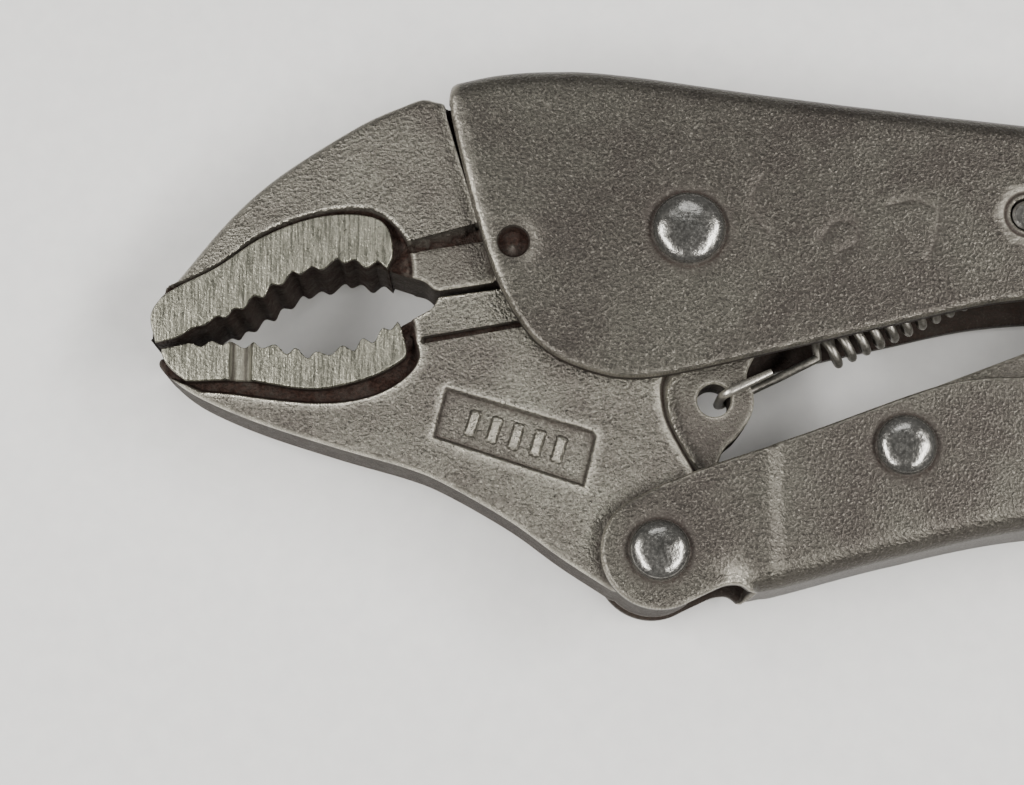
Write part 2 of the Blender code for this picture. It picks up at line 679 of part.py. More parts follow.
def main():
    for obj in list(bpy.data.objects):
        bpy.data.objects.remove(obj)
    forged = (0.16, 0.15, 0.14)
    pressed = (0.19, 0.18, 0.17)
    bright = (0.30, 0.29, 0.28)
    sprung = (0.10, 0.09, 0.085)
    pieces = [
        (make_upper_handle(), pressed, 0.45),
        (make_fixed_jaw(), forged, 0.5),
        (make_main_rivet(), bright, 0.35),
        (make_spring_anchor(), bright, 0.4),
        (make_moving_jaw(), forged, 0.5),
        (make_jaw_rivet(), bright, 0.35),
        (make_lower_handle(), pressed, 0.45),
        (make_link_rivet(), bright, 0.35),
        (make_lever_pin(), bright, 0.4),
        (make_toggle_link(), forged, 0.5),
        (make_release_lever(), pressed, 0.45),
        (make_screw_tip(), bright, 0.3),
        (make_adjusting_screw(), pressed, 0.4),
        (make_return_spring(), sprung, 0.35),
    ]
    for obj, colour, roughness in pieces:
        paint(obj, colour, roughness, 1.0)
    bpy.context.view_layer.update()
    stand_on_footprint([obj for obj, _, _ in pieces])


main()
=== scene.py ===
"""Locking pliers: the detailed look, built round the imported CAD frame.

Design sizes are in millimetres, with their origin on the main pivot in the tool's middle plane, as
in the CAD source. Every flat piece is made by plate(): a dense sheet over an outline, lifted to its
upper and lower surfaces, so that rounded edges, grooves and steps are real geometry.
"""

import json
import math

import bpy
import numpy as np
from mathutils import Matrix, Vector
from mathutils.geometry import delaunay_2d_cdt


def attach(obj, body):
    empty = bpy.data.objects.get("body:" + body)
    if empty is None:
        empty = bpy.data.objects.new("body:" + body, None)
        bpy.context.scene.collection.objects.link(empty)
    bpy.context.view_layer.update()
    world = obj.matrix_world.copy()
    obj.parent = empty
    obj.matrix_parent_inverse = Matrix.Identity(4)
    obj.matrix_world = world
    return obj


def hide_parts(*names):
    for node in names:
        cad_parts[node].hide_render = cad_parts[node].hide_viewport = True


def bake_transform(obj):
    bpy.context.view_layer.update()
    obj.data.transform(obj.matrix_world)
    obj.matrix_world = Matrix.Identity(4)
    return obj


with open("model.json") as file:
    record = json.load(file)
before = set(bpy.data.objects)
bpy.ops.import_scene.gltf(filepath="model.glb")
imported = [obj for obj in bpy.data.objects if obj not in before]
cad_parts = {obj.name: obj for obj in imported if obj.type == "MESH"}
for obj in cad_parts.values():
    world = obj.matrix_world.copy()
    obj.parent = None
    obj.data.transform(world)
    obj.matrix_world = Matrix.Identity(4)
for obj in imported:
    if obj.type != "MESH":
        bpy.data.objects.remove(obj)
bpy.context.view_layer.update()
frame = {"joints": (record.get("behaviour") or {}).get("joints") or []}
main_joint = next(joint for joint in frame["joints"] if joint["name"] == "jaw_pivot")
ORIGIN = np.array(main_joint["pos_m"]) * 1000

# ---- sizes that match the CAD source ----

JAW_HALF, PAD_HALF, TONGUE_HALF = 5.9, 6.3, 2.9
UPPER_HALF, UPPER_WALL = 8.4, 2.2
EAR_HALF, GRIP_HALF, LOWER_WALL = 8.3, 9.1, 2.1
BEND = 3.0
TAIL_RADIUS = 7.2
MAIN_PIN, SMALL_PIN, LEVER_PIN, ANCHOR_PIN = 3.4, 2.6, 2.0, 1.8
PIN_PLAY = .3
TOGGLE_NOSE, TIP_GAP, TIP_LENGTH = 3.8, 2.8, 4.0
THREAD_RADIUS, THREAD_PITCH, KNOB_RADIUS = 4.7, 1.6, 7.2
JAW_REACH, HANDLE_REACH, HANDLE_FRONT = 65.3, 165.0, -28.8
MAIN = (0.0, 0.0)
JAW_PIVOT = (-4.1, -39.0)
LINK_PIVOT = (25.1, -26.7)
TOGGLE = (86.0, -1.7)
LEVER_PIVOT = (82.0, -26.6)
HOOK_HOLE = (3.2, -20.0)
ANCHOR = (41.1, 1.8)
STAKE = (-21.2, -1.5)
SCREW_SLOPE = math.radians(-4.6)
SPRING_SLOPE = math.radians(24.8)


# ---- outlines ----

def through(points, steps=6):
    """A smooth open curve through the points."""
    p = np.array(points, float)
    p = np.vstack([2 * p[0] - p[1], p, 2 * p[-1] - p[-2]])
    out = []
    for a, b, c, d in zip(p, p[1:], p[2:], p[3:]):
        for t in np.arange(steps) / steps:
            out.append(.5 * (2 * b + (c - a) * t + (2 * a - 5 * b + 4 * c - d) * t ** 2
                             + (3 * b - a - 3 * c + d) * t ** 3))
    return np.array(out + [p[-2]])


def arc(centre, radius, start, end, steps=24):
    """Points on an arc between two angles, in degrees."""
    a = np.radians(np.linspace(start, end, steps + 1))
    return np.array(centre) + radius * np.stack([np.cos(a), np.sin(a)], 1)


def circle(centre, radius, steps=40):
    return arc(centre, radius, 0, 360 - 360 / steps, steps - 1)


def ahead(share, height):
    """The point at this share of the way from the handle's front to the jaws' tip."""
    return (HANDLE_FRONT - share * (JAW_REACH + HANDLE_FRONT), height)


def along_jaw(*places):
    return [ahead(*place) for place in places]


def height_on(points, x):
    """Heights, at each x, of a smooth curve through the points."""
    curve = through(points, 12)
    return np.interp(x, curve[:, 0], curve[:, 1])


def worn_row(points):
    """A row of unevenly worn teeth: straight flanks with small rounded crests and roots."""
    p = np.array(points, float)
    out = [p[0]]
    for a, b, c in zip(p, p[1:], p[2:]):
        out += [b + (a - b) * .22, b + (a - b) * .07 + (c - b) * .07, b + (c - b) * .22]
    return np.array(out + [p[-1]])


UPPER_TEETH = [(-64.2, -13.6), (-61.8, -13.0), (-59.9, -11.7), (-58.4, -11.4), (-57.0, -10.2),
               (-55.9, -10.6), (-55.1, -9.3), (-53.8, -9.5), (-52.8, -7.7), (-51.4, -8.1),
               (-50.7, -6.3), (-49.2, -6.5), (-48.1, -4.6), (-47.1, -5.2), (-45.7, -4.0),
               (-44.4, -4.7), (-42.7, -3.0), (-41.8, -3.8), (-40.5, -3.1), (-39.1, -4.5),
               (-37.7, -3.3), (-36.5, -4.4)]
LOWER_TEETH = [(-35.2, -11.0), (-36.0, -12.1), (-37.1, -11.7), (-38.0, -13.8), (-39.5, -12.9),
               (-40.3, -14.8), (-41.9, -13.8), (-43.2, -15.3), (-45.0, -14.6), (-46.0, -15.7),
               (-47.4, -14.1), (-48.5, -15.2), (-49.9, -13.7), (-51.5, -14.4), (-52.6, -13.4),
               (-53.8, -14.2), (-55.2, -13.3), (-56.3, -14.0), (-57.6, -13.3), (-58.8, -14.2),
               (-60.2, -13.6), (-61.6, -14.0), (-63.4, -14.2)]


# ---- distances and noise ----

def nearest(points, a, b):
    """Distance from each point to the nearest segment, and that segment's number."""
    out, which = np.empty(len(points)), np.empty(len(points), int)
    ab = b - a
    length = np.maximum((ab ** 2).sum(1), 1e-12)
    for i in range(0, len(points), 2000):
        p = points[i:i + 2000, None]
        t = np.clip(((p - a) * ab).sum(2) / length, 0, 1)
        d = ((p - a - t[..., None] * ab) ** 2).sum(2)
        which[i:i + 2000] = d.argmin(1)
        out[i:i + 2000] = np.sqrt(d.min(1))
    return out, which


def inside(points, loop):
    """Whether each point is inside a closed loop."""
    loop = np.array(loop, float)
    a, b = loop, np.roll(loop, -1, 0)
    found = np.zeros(len(points), bool)
    for i in range(0, len(points), 4000):
        p = points[i:i + 4000, None]
        cross = (a[:, 1] > p[..., 1]) != (b[:, 1] > p[..., 1])
        with np.errstate(divide="ignore", invalid="ignore"):
            x = a[:, 0] + (p[..., 1] - a[:, 1]) * (b[:, 0] - a[:, 0]) / (b[:, 1] - a[:, 1])
        found[i:i + 4000] = (cross & (p[..., 0] < x)).sum(1) % 2 == 1
    return found


def signed(points, loop):
    """Distance to a closed loop, positive inside it."""
    loop = np.array(loop, float)
    d, _ = nearest(points, loop, np.roll(loop, -1, 0))
    return np.where(inside(points, loop), d, -d)


def near(points, curve):
    """Distance to an open curve."""
    curve = np.array(curve, float)
    return nearest(points, curve[:-1], curve[1:])[0]


def step(x, width):
    """0 below 0 and 1 above the width, with a smooth rise between."""
    t = np.clip(x / width, 0, 1)
    return t * t * (3 - 2 * t)


def ridge(distance, centre, width):
    """1 where the distance is `centre`, fading smoothly over `width`."""
    return np.exp(-((distance - centre) / width) ** 2)


def most(*layers):
    """The largest of several layers, point by point."""
    return np.maximum.reduce(layers)


def from_point(points, centre):
    return np.linalg.norm(points - np.array(centre), axis=1)


def unevenness(points, size, seed):
    """Gentle waves, about 1 high, for the uneven faces of a forging or a pressing."""
    pick = np.random.default_rng(seed)
    total = np.zeros(len(points))
    for _ in range(9):
        angle, phase = pick.uniform(0, math.tau, 2)
        wave = pick.uniform(.6, 1.5) / size
        total += np.sin(math.tau * wave * (points[:, 0] * math.cos(angle)
                                           + points[:, 1] * math.sin(angle)) + phase)
    return total / 5


# ---- mesh tools ----

def make_object(name, verts, faces, layers, sharp):
    """A mesh object from design millimetres; layers are float attributes for its material."""
    mesh = bpy.data.meshes.new(name)
    verts = (verts + ORIGIN) / 1000
    mesh.from_pydata(verts.tolist(), [], [tuple(int(i) for i in f) for f in faces])
    for key, values in layers.items():
        layer = mesh.attributes.new(key, "FLOAT", "POINT")
        layer.data.foreach_set("value", np.asarray(values, np.float32))
    mesh.validate()
    mesh.update()
    mesh.shade_smooth()
    mesh.set_sharp_from_angle(angle=math.radians(sharp))
    obj = bpy.data.objects.new(name, mesh)
    bpy.context.scene.collection.objects.link(obj)
    return obj


class Shell:
    """Vertices, faces and attribute layers that several surfaces are added to."""

    def __init__(self):
        self.verts, self.faces, self.layers, self.count = [], [], {}, 0

    def add(self, verts, faces, **layers):
        verts = np.asarray(verts, float)
        for key in set(self.layers) | set(layers):
            values = layers.get(key, np.zeros(len(verts)))
            old = self.layers.setdefault(key, [np.zeros(self.count)] if self.count else [])
            old.append(np.asarray(values, float))
        self.verts.append(verts)
        self.faces += [tuple(i + self.count for i in f) for f in faces]
        self.count += len(verts)

    def joined_layers(self):
        return {key: np.concatenate(values) for key, values in self.layers.items()}

    def mirror(self):
        """Adds the same surfaces on the other side of the middle plane."""
        verts = np.concatenate(self.verts) * (1, 1, -1)
        self.add(verts, [f[::-1] for f in list(self.faces)], **self.joined_layers())

    def object(self, name, sharp=38, weld=0.0):
        """The finished object; weld joins the two sides' points on the middle plane."""
        layers, verts, faces = self.joined_layers(), np.concatenate(self.verts), self.faces
        if weld:
            key = np.round(verts / weld).astype(np.int64)
            seam = np.abs(verts[:, 2]) < 1e-6
            key[~seam, 2] += (np.arange((~seam).sum()) + 10) * 1000
            _, first, index = np.unique(key, axis=0, return_index=True, return_inverse=True)
            index = index.reshape(-1)
            faces = [tuple(index[list(f)]) for f in faces]
            verts = verts[first]
            layers = {k: v[first] for k, v in layers.items()}
        return make_object(name, verts, faces, layers, sharp)


def divided(a, b, step_size):
    """Points from a towards b at most step_size apart, without b."""
    n = max(1, math.ceil(np.linalg.norm(b - a) / step_size))
    return [a + (b - a) * t / n for t in range(n)]


def closed_loop(parts, step_size):
    """A loop's points and their edge radii, from its (points, edge radius) parts."""
    parts = [(np.atleast_2d(np.array(p, float)), r) for p, r in parts]
    points, radii = [], []
    for k, (part, radius) in enumerate(parts):
        run = np.vstack([part, parts[(k + 1) % len(parts)][0][:1]])
        for a, b in zip(run, run[1:]):
            fresh = divided(a, b, step_size)
            points += fresh
            radii += [radius] * len(fresh)
    points, radii = np.array(points), np.array(radii)
    keep = np.linalg.norm(points - np.roll(points, 1, 0), axis=1) > 1e-4
    return points[keep], radii[keep]


def normals(along):
    """Unit vectors square to these directions."""
    turned = np.stack([-along[:, 1], along[:, 0]], 1)
    return turned / np.maximum(np.linalg.norm(along, axis=1), 1e-9)[:, None]


def beside(curve, offsets, step_size):
    """Rows of points along a curve, one at each offset from it."""
    curve = np.array(curve, float)
    dense = [p for a, b in zip(curve, curve[1:]) for p in divided(a, b, step_size)]
    dense = np.array(dense + [curve[-1]])
    side = normals(np.gradient(dense, axis=0))
    return [dense + offset * side for offset in offsets]


def within(points, loops):
    """Whether each point is inside the first loop and outside the others."""
    found = inside(points, loops[0])
    for hole in loops[1:]:
        found &= ~inside(points, hole)
    return found


def thinned(batches, cell=.4):
    """The points of (points, gap) batches that lie at least the gap from any kept before them."""
    cells, kept = {}, []
    for points, gap in batches:
        reach = range(-math.ceil(gap / cell), math.ceil(gap / cell) + 1)
        for p in points:
            home = (int(p[0] // cell), int(p[1] // cell))
            around = (q for i in reach for j in reach
                      for q in cells.get((home[0] + i, home[1] + j), ()))
            if all((p[0] - q[0]) ** 2 + (p[1] - q[1]) ** 2 >= gap * gap for q in around):
                cells.setdefault(home, []).append(p)
                kept.append(p)
    return np.array(kept)


def triangulated(points, loops):
    """A flat mesh of the points between the loops, whose own points come first."""
    edges, at = [], 0
    for loop in loops:
        n = len(loop)
        edges += [(at + i, at + (i + 1) % n) for i in range(n)]
        at += n
    made = delaunay_2d_cdt([Vector(p) for p in points], edges, [], 0, 1e-6)
    flat = np.array([tuple(v) for v in made[0]])
    tris = np.array([f for f in made[2] if len(f) == 3])
    tris = tris[within(flat[tris].mean(1), loops)]
    corners = flat[tris]
    turn = np.cross(corners[:, 1] - corners[:, 0], corners[:, 2] - corners[:, 0])
    solid = np.abs(turn) > 1e-7
    tris, turn = tris[solid], turn[solid]
    tris[turn < 0] = tris[turn < 0][:, ::-1]
    return flat, tris


def border_of(tris):
    """The edges that only one triangle has."""
    pairs = np.concatenate([tris[:, [0, 1]], tris[:, [1, 2]], tris[:, [2, 0]]])
    _, back, counts = np.unique(np.sort(pairs, 1), axis=0, return_inverse=True,
                                return_counts=True)
    return pairs[counts[back.reshape(-1)] == 1]


def add_walls(shell, border, top, under, wall_shade):
    """Walls along the border of the two surfaces that the shell was given last. Their middle rows
    get painted shade, as strong as the last argument.
    """
    first_under = shell.count - len(under)
    used = np.unique(border)
    depth = under[used] - top[used]
    tall = np.maximum(np.linalg.norm(depth, axis=1), 1e-6)[:, None]
    share = np.clip(.35 / tall, 0, .45)
    every = np.arange(len(top))
    rows = []
    for part in (share, 1 - share):
        row = np.full(len(top), -1)
        row[used] = shell.count + np.arange(len(used))
        rows.append(row)
        shell.add(top[used] + depth * part, [], grime=np.full(len(used), wall_shade))
    levels = [first_under - len(top) + every, *rows, first_under + every]
    for high, low in zip(levels, levels[1:]):
        shell.faces += [(high[j], high[i], low[i], low[j]) for i, j in border]


def plate(shell, outline, holes, upper, lower, spacing, rings, guides=(), step_size=.35,
          wall_shade=.6):
    """Adds a dense plate. outline is a list of (points, edge radius), and so is holes; a radius
    under 0 marks a seam, which gets no rounding and no wall. upper and lower take (points, distance
    to the nearest real edge, its radius) and give (positions, layers). Points are denser at each
    distance in rings from an edge, and at the offsets from each (curve, offsets) of guides."""
    loops, radii = zip(*(closed_loop(parts, step_size)
                         for parts in [outline, *([hole] for hole in holes)]))
    a = np.concatenate(loops)
    b = np.concatenate([np.roll(loop, -1, 0) for loop in loops])
    radius = np.concatenate(radii)
    real = radius >= 0
    side = normals(b - a)
    extra = [((a + b) / 2 + sign * ring * side)[real] for ring in rings for sign in (1, -1)]
    for curve, offsets in guides:
        extra += beside(curve, offsets, step_size)
    extra = np.concatenate(extra)
    extra = extra[within(extra, loops)]
    extra = extra[nearest(extra, a, b)[0] > .06]
    low, high = a.min(0), a.max(0)
    grid = np.stack(np.meshgrid(np.arange(low[0], high[0], spacing),
                                np.arange(low[1], high[1], spacing * .866)), -1)
    grid[1::2, :, 0] += spacing / 2
    grid = grid.reshape(-1, 2)
    grid = grid[within(grid, loops)]
    grid = grid[nearest(grid, a, b)[0] > spacing * .5]
    kept = thinned([(extra, .07), (grid, spacing * .45)])
    flat, tris = triangulated(np.concatenate([a, kept]), loops)
    distance, which = nearest(flat, a[real], b[real])
    top, top_layers = upper(flat, distance, radius[real][which])
    under, under_layers = lower(flat, distance, radius[real][which])
    shell.add(top, tris.tolist(), **top_layers)
    shell.add(under, tris[:, ::-1].tolist(), **under_layers)
    border = border_of(tris)
    _, which = nearest(flat[border].mean(1), a, b)
    add_walls(shell, border[real[which]], top, under, wall_shade)


def fall(d, r):
    """How far a rounded edge of radius r drops at distance d from it."""
    r = np.maximum(r, 1e-4)
    x = np.clip(r - d, 0, r)
    return r - np.sqrt(np.maximum(r * r - x * x, 0))


def lathe(profile, steps=64):
    """Vertices and faces of a solid turned about Z, from (radius, height) points."""
    profile = np.array(profile, float)
    a = np.linspace(0, math.tau, steps, endpoint=False)
    verts, faces, rings = [], [], []
    for r, z in profile:
        if r < 1e-6:
            rings.append([len(verts)] * steps)
            verts.append((0, 0, z))
        else:
            rings.append(list(range(len(verts), len(verts) + steps)))
            verts += [(r * math.cos(t), r * math.sin(t), z) for t in a]
    for low, high in zip(rings, rings[1:]):
        for i in range(steps):
            j = (i + 1) % steps
            face = list(dict.fromkeys((low[i], low[j], high[j], high[i])))
            if len(face) > 2:
                faces.append(face)
    return np.array(verts), faces


def sleeve(rows, sides):
    """Faces between rows of points that each run once round a sleeve."""
    return [(k * sides + i, k * sides + (i + 1) % sides, (k + 1) * sides + (i + 1) % sides,
             (k + 1) * sides + i) for k in range(rows - 1) for i in range(sides)]


def tube(route, radius, sides=12):
    """A round wire along a route, with slightly rounded ends."""
    route = np.array(route, float)
    tangent = np.gradient(route, axis=0)
    tangent /= np.linalg.norm(tangent, axis=1)[:, None]
    side = np.cross(tangent[0], (0.3, 0.2, 0.9))
    verts = []
    radii = np.full(len(route), radius)
    radii[0] = radii[-1] = radius * .82
    for k, (p, t) in enumerate(zip(route, tangent)):
        side = side - t * np.dot(side, t)
        side /= np.linalg.norm(side)
        up = np.cross(t, side)
        for i in range(sides):
            a = math.tau * i / sides
            verts.append(p + radii[k] * (math.cos(a) * side + math.sin(a) * up))
    caps = [tuple(range(sides))[::-1], tuple((len(route) - 1) * sides + i for i in range(sides))]
    return np.array(verts), sleeve(len(route), sides) + caps


# ---- forged jaws ----

def both_sides(height, grain, seed):
    """Upper and lower surface functions of a forging, from one function of its points that gives
    height, dirt with painted shade, and wear with painted highlights."""
    def surface(sign):
        def build(p, d, r):
            z, grime, wear = height(p)
            z = z - fall(d, r) + grain * unevenness(p, 9, seed + (sign < 0)) * step(d, 1.5)
            wear = np.maximum(wear, ridge(d, 0, .28) * np.where(r > .05, 1, .4))
            return np.column_stack([p, sign * z]), {"wear": wear, "grime": grime}
        return build
    return surface(1), surface(-1)


def slab(half, grime, grain, seed):
    """Both surfaces of a piece of even thickness."""
    return both_sides(lambda p: (half, np.full(len(p), grime), 0), grain, seed)


def make_pad(shell, edge, teeth, groove=None):
    """The ground tooth pad that stands proud of a jaw; groove is the X range of its cut."""
    def surface(sign):
        def build(p, d, r):
            z = PAD_HALF + .02 * unevenness(p, 6, 5)
            grime = np.zeros(len(p))
            if groove:
                t = (p[:, 0] - groove[0]) / (groove[1] - groove[0])
                dip = np.sqrt(np.clip(1 - (2 * t - 1) ** 2, 0, 1))
                z = z - dip
                # The groove darkens along two lines and a little all over.
                dark_lines = ridge(t, .14, .13) + .75 * ridge(t, .66, .16)
                grime = np.clip(dark_lines + .15, 0, 1) * (dip > 0)
            z = z - fall(d, r)
            return (np.column_stack([p, sign * z]),
                    {"wear": .8 * ridge(d, 0, .12), "grime": grime, "ground": np.ones(len(p))})
        return build
    across = np.linspace(*groove, 9) if groove else ()
    # The tooth walls get strong painted shade (.95).
    plate(shell, [(edge[:-1], .22), (teeth[:-1], .1)], [], surface(1), surface(-1), .7,
          (.07, .15, .25), [([(x, -22), (x, -11)], (0,)) for x in across], .22, .95)


def make_fixed_jaw():
    back = through(along_jaw((0.999, -12.9), (0.998, -9.7), (0.985, -7.8), (0.915, -4.9),
                             (0.75, 2.5), (0.58, 8.1), (0.325, 14.1), (0.19, 16.4),
                             (0.105, 17.6), (0.06, 17.4)))
    root = [(x, upper_top(x) - UPPER_WALL - .3) for x in (HANDLE_FRONT + .2, -25, -18, -11, -6)]
    rear = arc(MAIN, 13.2, 104, 198, 30)
    throat = through(along_jaw((0.04, -6.75), (0.06, -6.5), (0.09, -5.6), (0.13, -5.15)))
    inner = along_jaw((0.35, -2.5), (0.5, -3.8), (0.62, -6.5), (0.8, -9.7), (0.95, -11.0))
    moat = through(along_jaw((1.02, -6.6), (0.93, -6.1), (0.78, -3.5), (0.64, 0.2), (0.49, 2.5),
                             (0.34, 3.5), (0.25, 3.0), (0.175, 0.9), (0.13, -2.2), (0.12, -7.0)))
    moat = np.vstack([moat, along_jaw((0.5, -16), (1.05, -18))])
    land = [(-34.4, -1.0), (-25.0, 1.6), (-24.2, -1.7), (-23.2, -8.0), (-34.4, -8.0)]
    slot_bottom = [(-34.6, -2.2), (-23.5, -.35)]
    shoulder = [(-30.2, 18.5), (-29.9, 17.2), (-29.4, 14.9), (-28.6, 12.0), (-27.3, 7.6),
                (-25.9, 2.8), (-25.3, 1.0)]
    behind = shoulder + [(-20, 1.0), (-20, 18.5)]

    def height(p):
        x, y = p.T
        moat_d, land_d, behind_d = (signed(p, loop) for loop in (moat, land, behind))
        slot = (land_d > 0) * (y > np.interp(x, *zip(*slot_bottom)))
        # The face falls away towards the jaw's back, most of all near the tip.
        back_d = near(p, back)
        tip = np.clip((-36 - x) / 26, 0, 1)
        slope = 1.5 * tip * np.exp(-back_d / 4.2) + .0875 * np.exp(-np.abs(moat_d) / 2.2)
        shelf = 1.0 + .95 * slot * step(near(p, slot_bottom), .15)
        z = JAW_HALF - slope * (moat_d < 0)
        z -= most(1.45 * step(moat_d, .5), shelf * step(land_d, .12) * (moat_d < .3),
                  1.7 * step(behind_d, .22))
        # Dirt and painted shade in the moat and the slot, painted shade where the jaw runs under the
        # handle, a painted shadow on the face in front of the handle's edge, and a darker land with
        # a dark line at its right end.
        grime = most(step(moat_d, .25), slot * step(land_d, .1) * (moat_d < .1),
                     step(behind_d - .12, .12), .3 * (land_d > .1) * (1 - slot),
                     .3 * np.exp(np.minimum(behind_d, 0) / 2.2),
                     .8 * ridge(land_d, 0, .22) * (x > -25) * (y < 1))
        # Worn edges with painted highlights along the moat, the shoulder and the land's left
        # chamfer, and a painted highlight on the sloping face near the tip.
        wear = most(.8 * ridge(moat_d, -.14, .14), .7 * ridge(behind_d, -.2, .2),
                    .8 * ridge(land_d, .3, .2) * (x < -33.6), .35 * tip * np.exp(-back_d / 2.5))
        return z, grime, wear

    shell = Shell()
    outline = [(back[:-1], 1.15), (root, .7), (rear, .2), (throat, .22), (inner, .05)]
    plate(shell, outline, [], *both_sides(height, .035, 3), .75, (.08, .2, .4, .7, 1.1),
          [(moat, (-.3, -.1, 0, .15, .3, .5)), (land[:4], (-.05, 0, .08, .14)),
           (slot_bottom, (-.05, .02, .1, .17)), (shoulder, (-.4, -.2, 0, .08, .16, .24))],
          wall_shade=.8)
    pad = through([(-64.4, -13.6)] + along_jaw(
        (0.995, -10.6), (0.975, -8.6), (0.92, -6.9), (0.78, -4.2), (0.64, -0.6), (0.49, 1.75),
        (0.36, 2.5), (0.26, 2.1), (0.215, 0.9), (0.195, -1.2), (0.195, -3.4)), 5)
    make_pad(shell, pad, worn_row(UPPER_TEETH)[::-1])
    return shell.object("fixed_jaw_forging")


def make_moving_jaw():
    throat = through(along_jaw((0.16, -11.0), (0.11, -10.0), (0.065, -9.0), (0.04, -7.6)))
    cutter = [(-12.6, -5.15)]
    boss = arc(MAIN, 12.6, 203, -42, 80)
    tongue = through([(9.4, -12.6), (7.3, -16.7), (8.1, -19.4), (7.7, -21.9), (6.0, -24.4),
                      (4.2, -26.2), (3.3, -29.0), (2.7, -33.0)])
    foot = arc(JAW_PIVOT, 6.6, 15, -135, 40)
    belly = through([(-9.6, -43.4), (-15.6, -39.5), (-21.5, -35.2), (-28.9, -30.9)] + along_jaw(
        (0.135, -28.8), (0.37, -26.3), (0.64, -23.1), (0.83, -20.1), (0.93, -17.6),
        (0.972, -15.9), (0.965, -14.9)))
    inner = along_jaw((0.90, -14.8), (0.6, -15.6), (0.45, -17.0), (0.3, -16.2))
    moat = through(along_jaw((0.82, -19.7), (0.72, -20.0), (0.60, -20.6), (0.45, -21.1),
                             (0.34, -20.9), (0.24, -20.0), (0.165, -18.5), (0.12, -16.9),
                             (0.10, -15.2), (0.11, -13.0)))
    moat_loop = np.vstack([moat, along_jaw((0.12, -9.0), (0.5, -9.0), (1.05, -10.0),
                                           (1.05, -17.0), (0.93, -17.9))])
    land = [ahead(0.13, -13.9), (-19.0, -11.35), (-16.0, -10.9), (-16.0, -3.0), ahead(0.13, -3.0)]
    recess = through([(-2.6, -16.6), (-3.4, -18.6), (-3.4, -20.8), (-2.9, -23.1), (-1.8, -25.5),
                      (0.3, -29.3), (2.6, -33.6)])
    recess_loop = np.vstack([recess, [(14, -33), (14, -12.8), (4.0, -12.8)]])
    panel = np.array([(-29.3, -19.1), (-11.8, -24.4), (-11.3, -25.0), (-12.8, -31.1),
                      (-30.8, -25.1)])
    # Five plain bars take the place of the stamped marks in the panel.
    across = np.array([math.cos(-.30), math.sin(-.30)])
    upright = np.array([-across[1], across[0]])
    bars = [np.array([-20.9, -25.0]) + across * s for s in (-5.4, -2.7, 0, 2.7, 5.4)]

    def height(p):
        x, y = p.T
        moat_d, land_d, recess_d, panel_d = (
            signed(p, loop) for loop in (moat_loop, land, recess_loop, panel))
        groove = step(land_d, .1) * step(1.1 - land_d, .14) * (y < -9) * (x > -32.2)
        raised = most(*(step(.75 - np.abs((p - bar) @ across), .32)
                        * step(1.75 - np.abs((p - bar) @ upright), .38) for bar in bars))
        z = JAW_HALF - most(1.5 * step(moat_d, .55),
                            (step(land_d, .12) + .9 * groove) * (moat_d < .3))
        z += .10 * ridge(panel_d, -.35, .3) - .5 * step(panel_d + .1, .35)
        z += .42 * raised * (panel_d > 0) - 3.0 * step(recess_d + .15, 1.15)
        z -= .07 * ridge(from_point(p, HOOK_HOLE), 3.5, .25) * (recess_d > 1)
        # Dirt and painted shade in the moat, the land's groove and at the foot of the recess wall,
        # darker panel edges and tongue, and a painted shadow round the lower handle's ear.
        grime = most(step(moat_d, .25), groove, ridge(recess_d, .25, .4),
                     .6 * ridge(panel_d, .25, .3), .35 * (recess_d > 1.2),
                     .6 * ridge(from_point(p, JAW_PIVOT), 7.1, .5))
        # Worn edges with painted highlights round the moat, the panel and the recess, a painted
        # highlight on the recess's fillet, and wear on the raised bars.
        wear = most(.75 * ridge(moat_d, -.12, .16) + .45 * ridge(panel_d, -.3, .22),
                    .5 * ridge(recess_d, -.25, .16), .5 * ridge(recess_d, 1.1, .3), .35 * raised)
        return z, grime, np.clip(wear, 0, 1)

    shell = Shell()
    outline = [(belly[:-1], 1.05), (inner, .05), (throat, .22), (cutter, .15), (boss, .2),
               (tongue[:-1], .45), (foot, .8)]
    holes = [(circle(MAIN, MAIN_PIN + PIN_PLAY), .1),
             (circle(JAW_PIVOT, SMALL_PIN + PIN_PLAY), .1), (circle(HOOK_HOLE, 2.05), .3)]
    guides = [(moat, (-.3, -.1, 0, .2, .4, .6)), (land[:3], (-.05, 0, .08, .14, .93, 1.0, 1.1)),
              (recess, (-.3, -.15, 0, .25, .5, .75, 1.0)),
              (np.vstack([panel, panel[:1]]), (-.3, -.1, 0, .12, .25, .5))]
    for bar in bars:
        for along, reach, square, places in ((upright, 1.8, across, (.43, .75)),
                                             (across, .8, upright, (1.4, 1.75))):
            for place in (-places[1], -places[0], *places):
                middle = bar + square * place
                guides.append(([middle - along * reach, middle + along * reach], (0,)))
    plate(shell, outline, holes, *both_sides(height, .035, 13), .8, (.08, .2, .4, .7, 1.05),
          guides, wall_shade=.8)
    bottom = through(along_jaw(
        (0.955, -14.4), (0.95, -15.3), (0.93, -16.5), (0.885, -17.9), (0.85, -18.3),
        (0.69, -18.15), (0.6, -18.6), (0.5, -19.2), (0.4, -19.15), (0.26, -17.8),
        (0.165, -15.9), (0.145, -14.7), (0.16, -12.2), (0.17, -11.1)), 5)
    make_pad(shell, bottom, worn_row(LOWER_TEETH), (-55.4, -52.6))
    return shell.object("moving_jaw_forging")


# ---- pressed handles ----

def screw_y(x):
    return TOGGLE[1] + (x - TOGGLE[0]) * math.tan(SCREW_SLOPE)


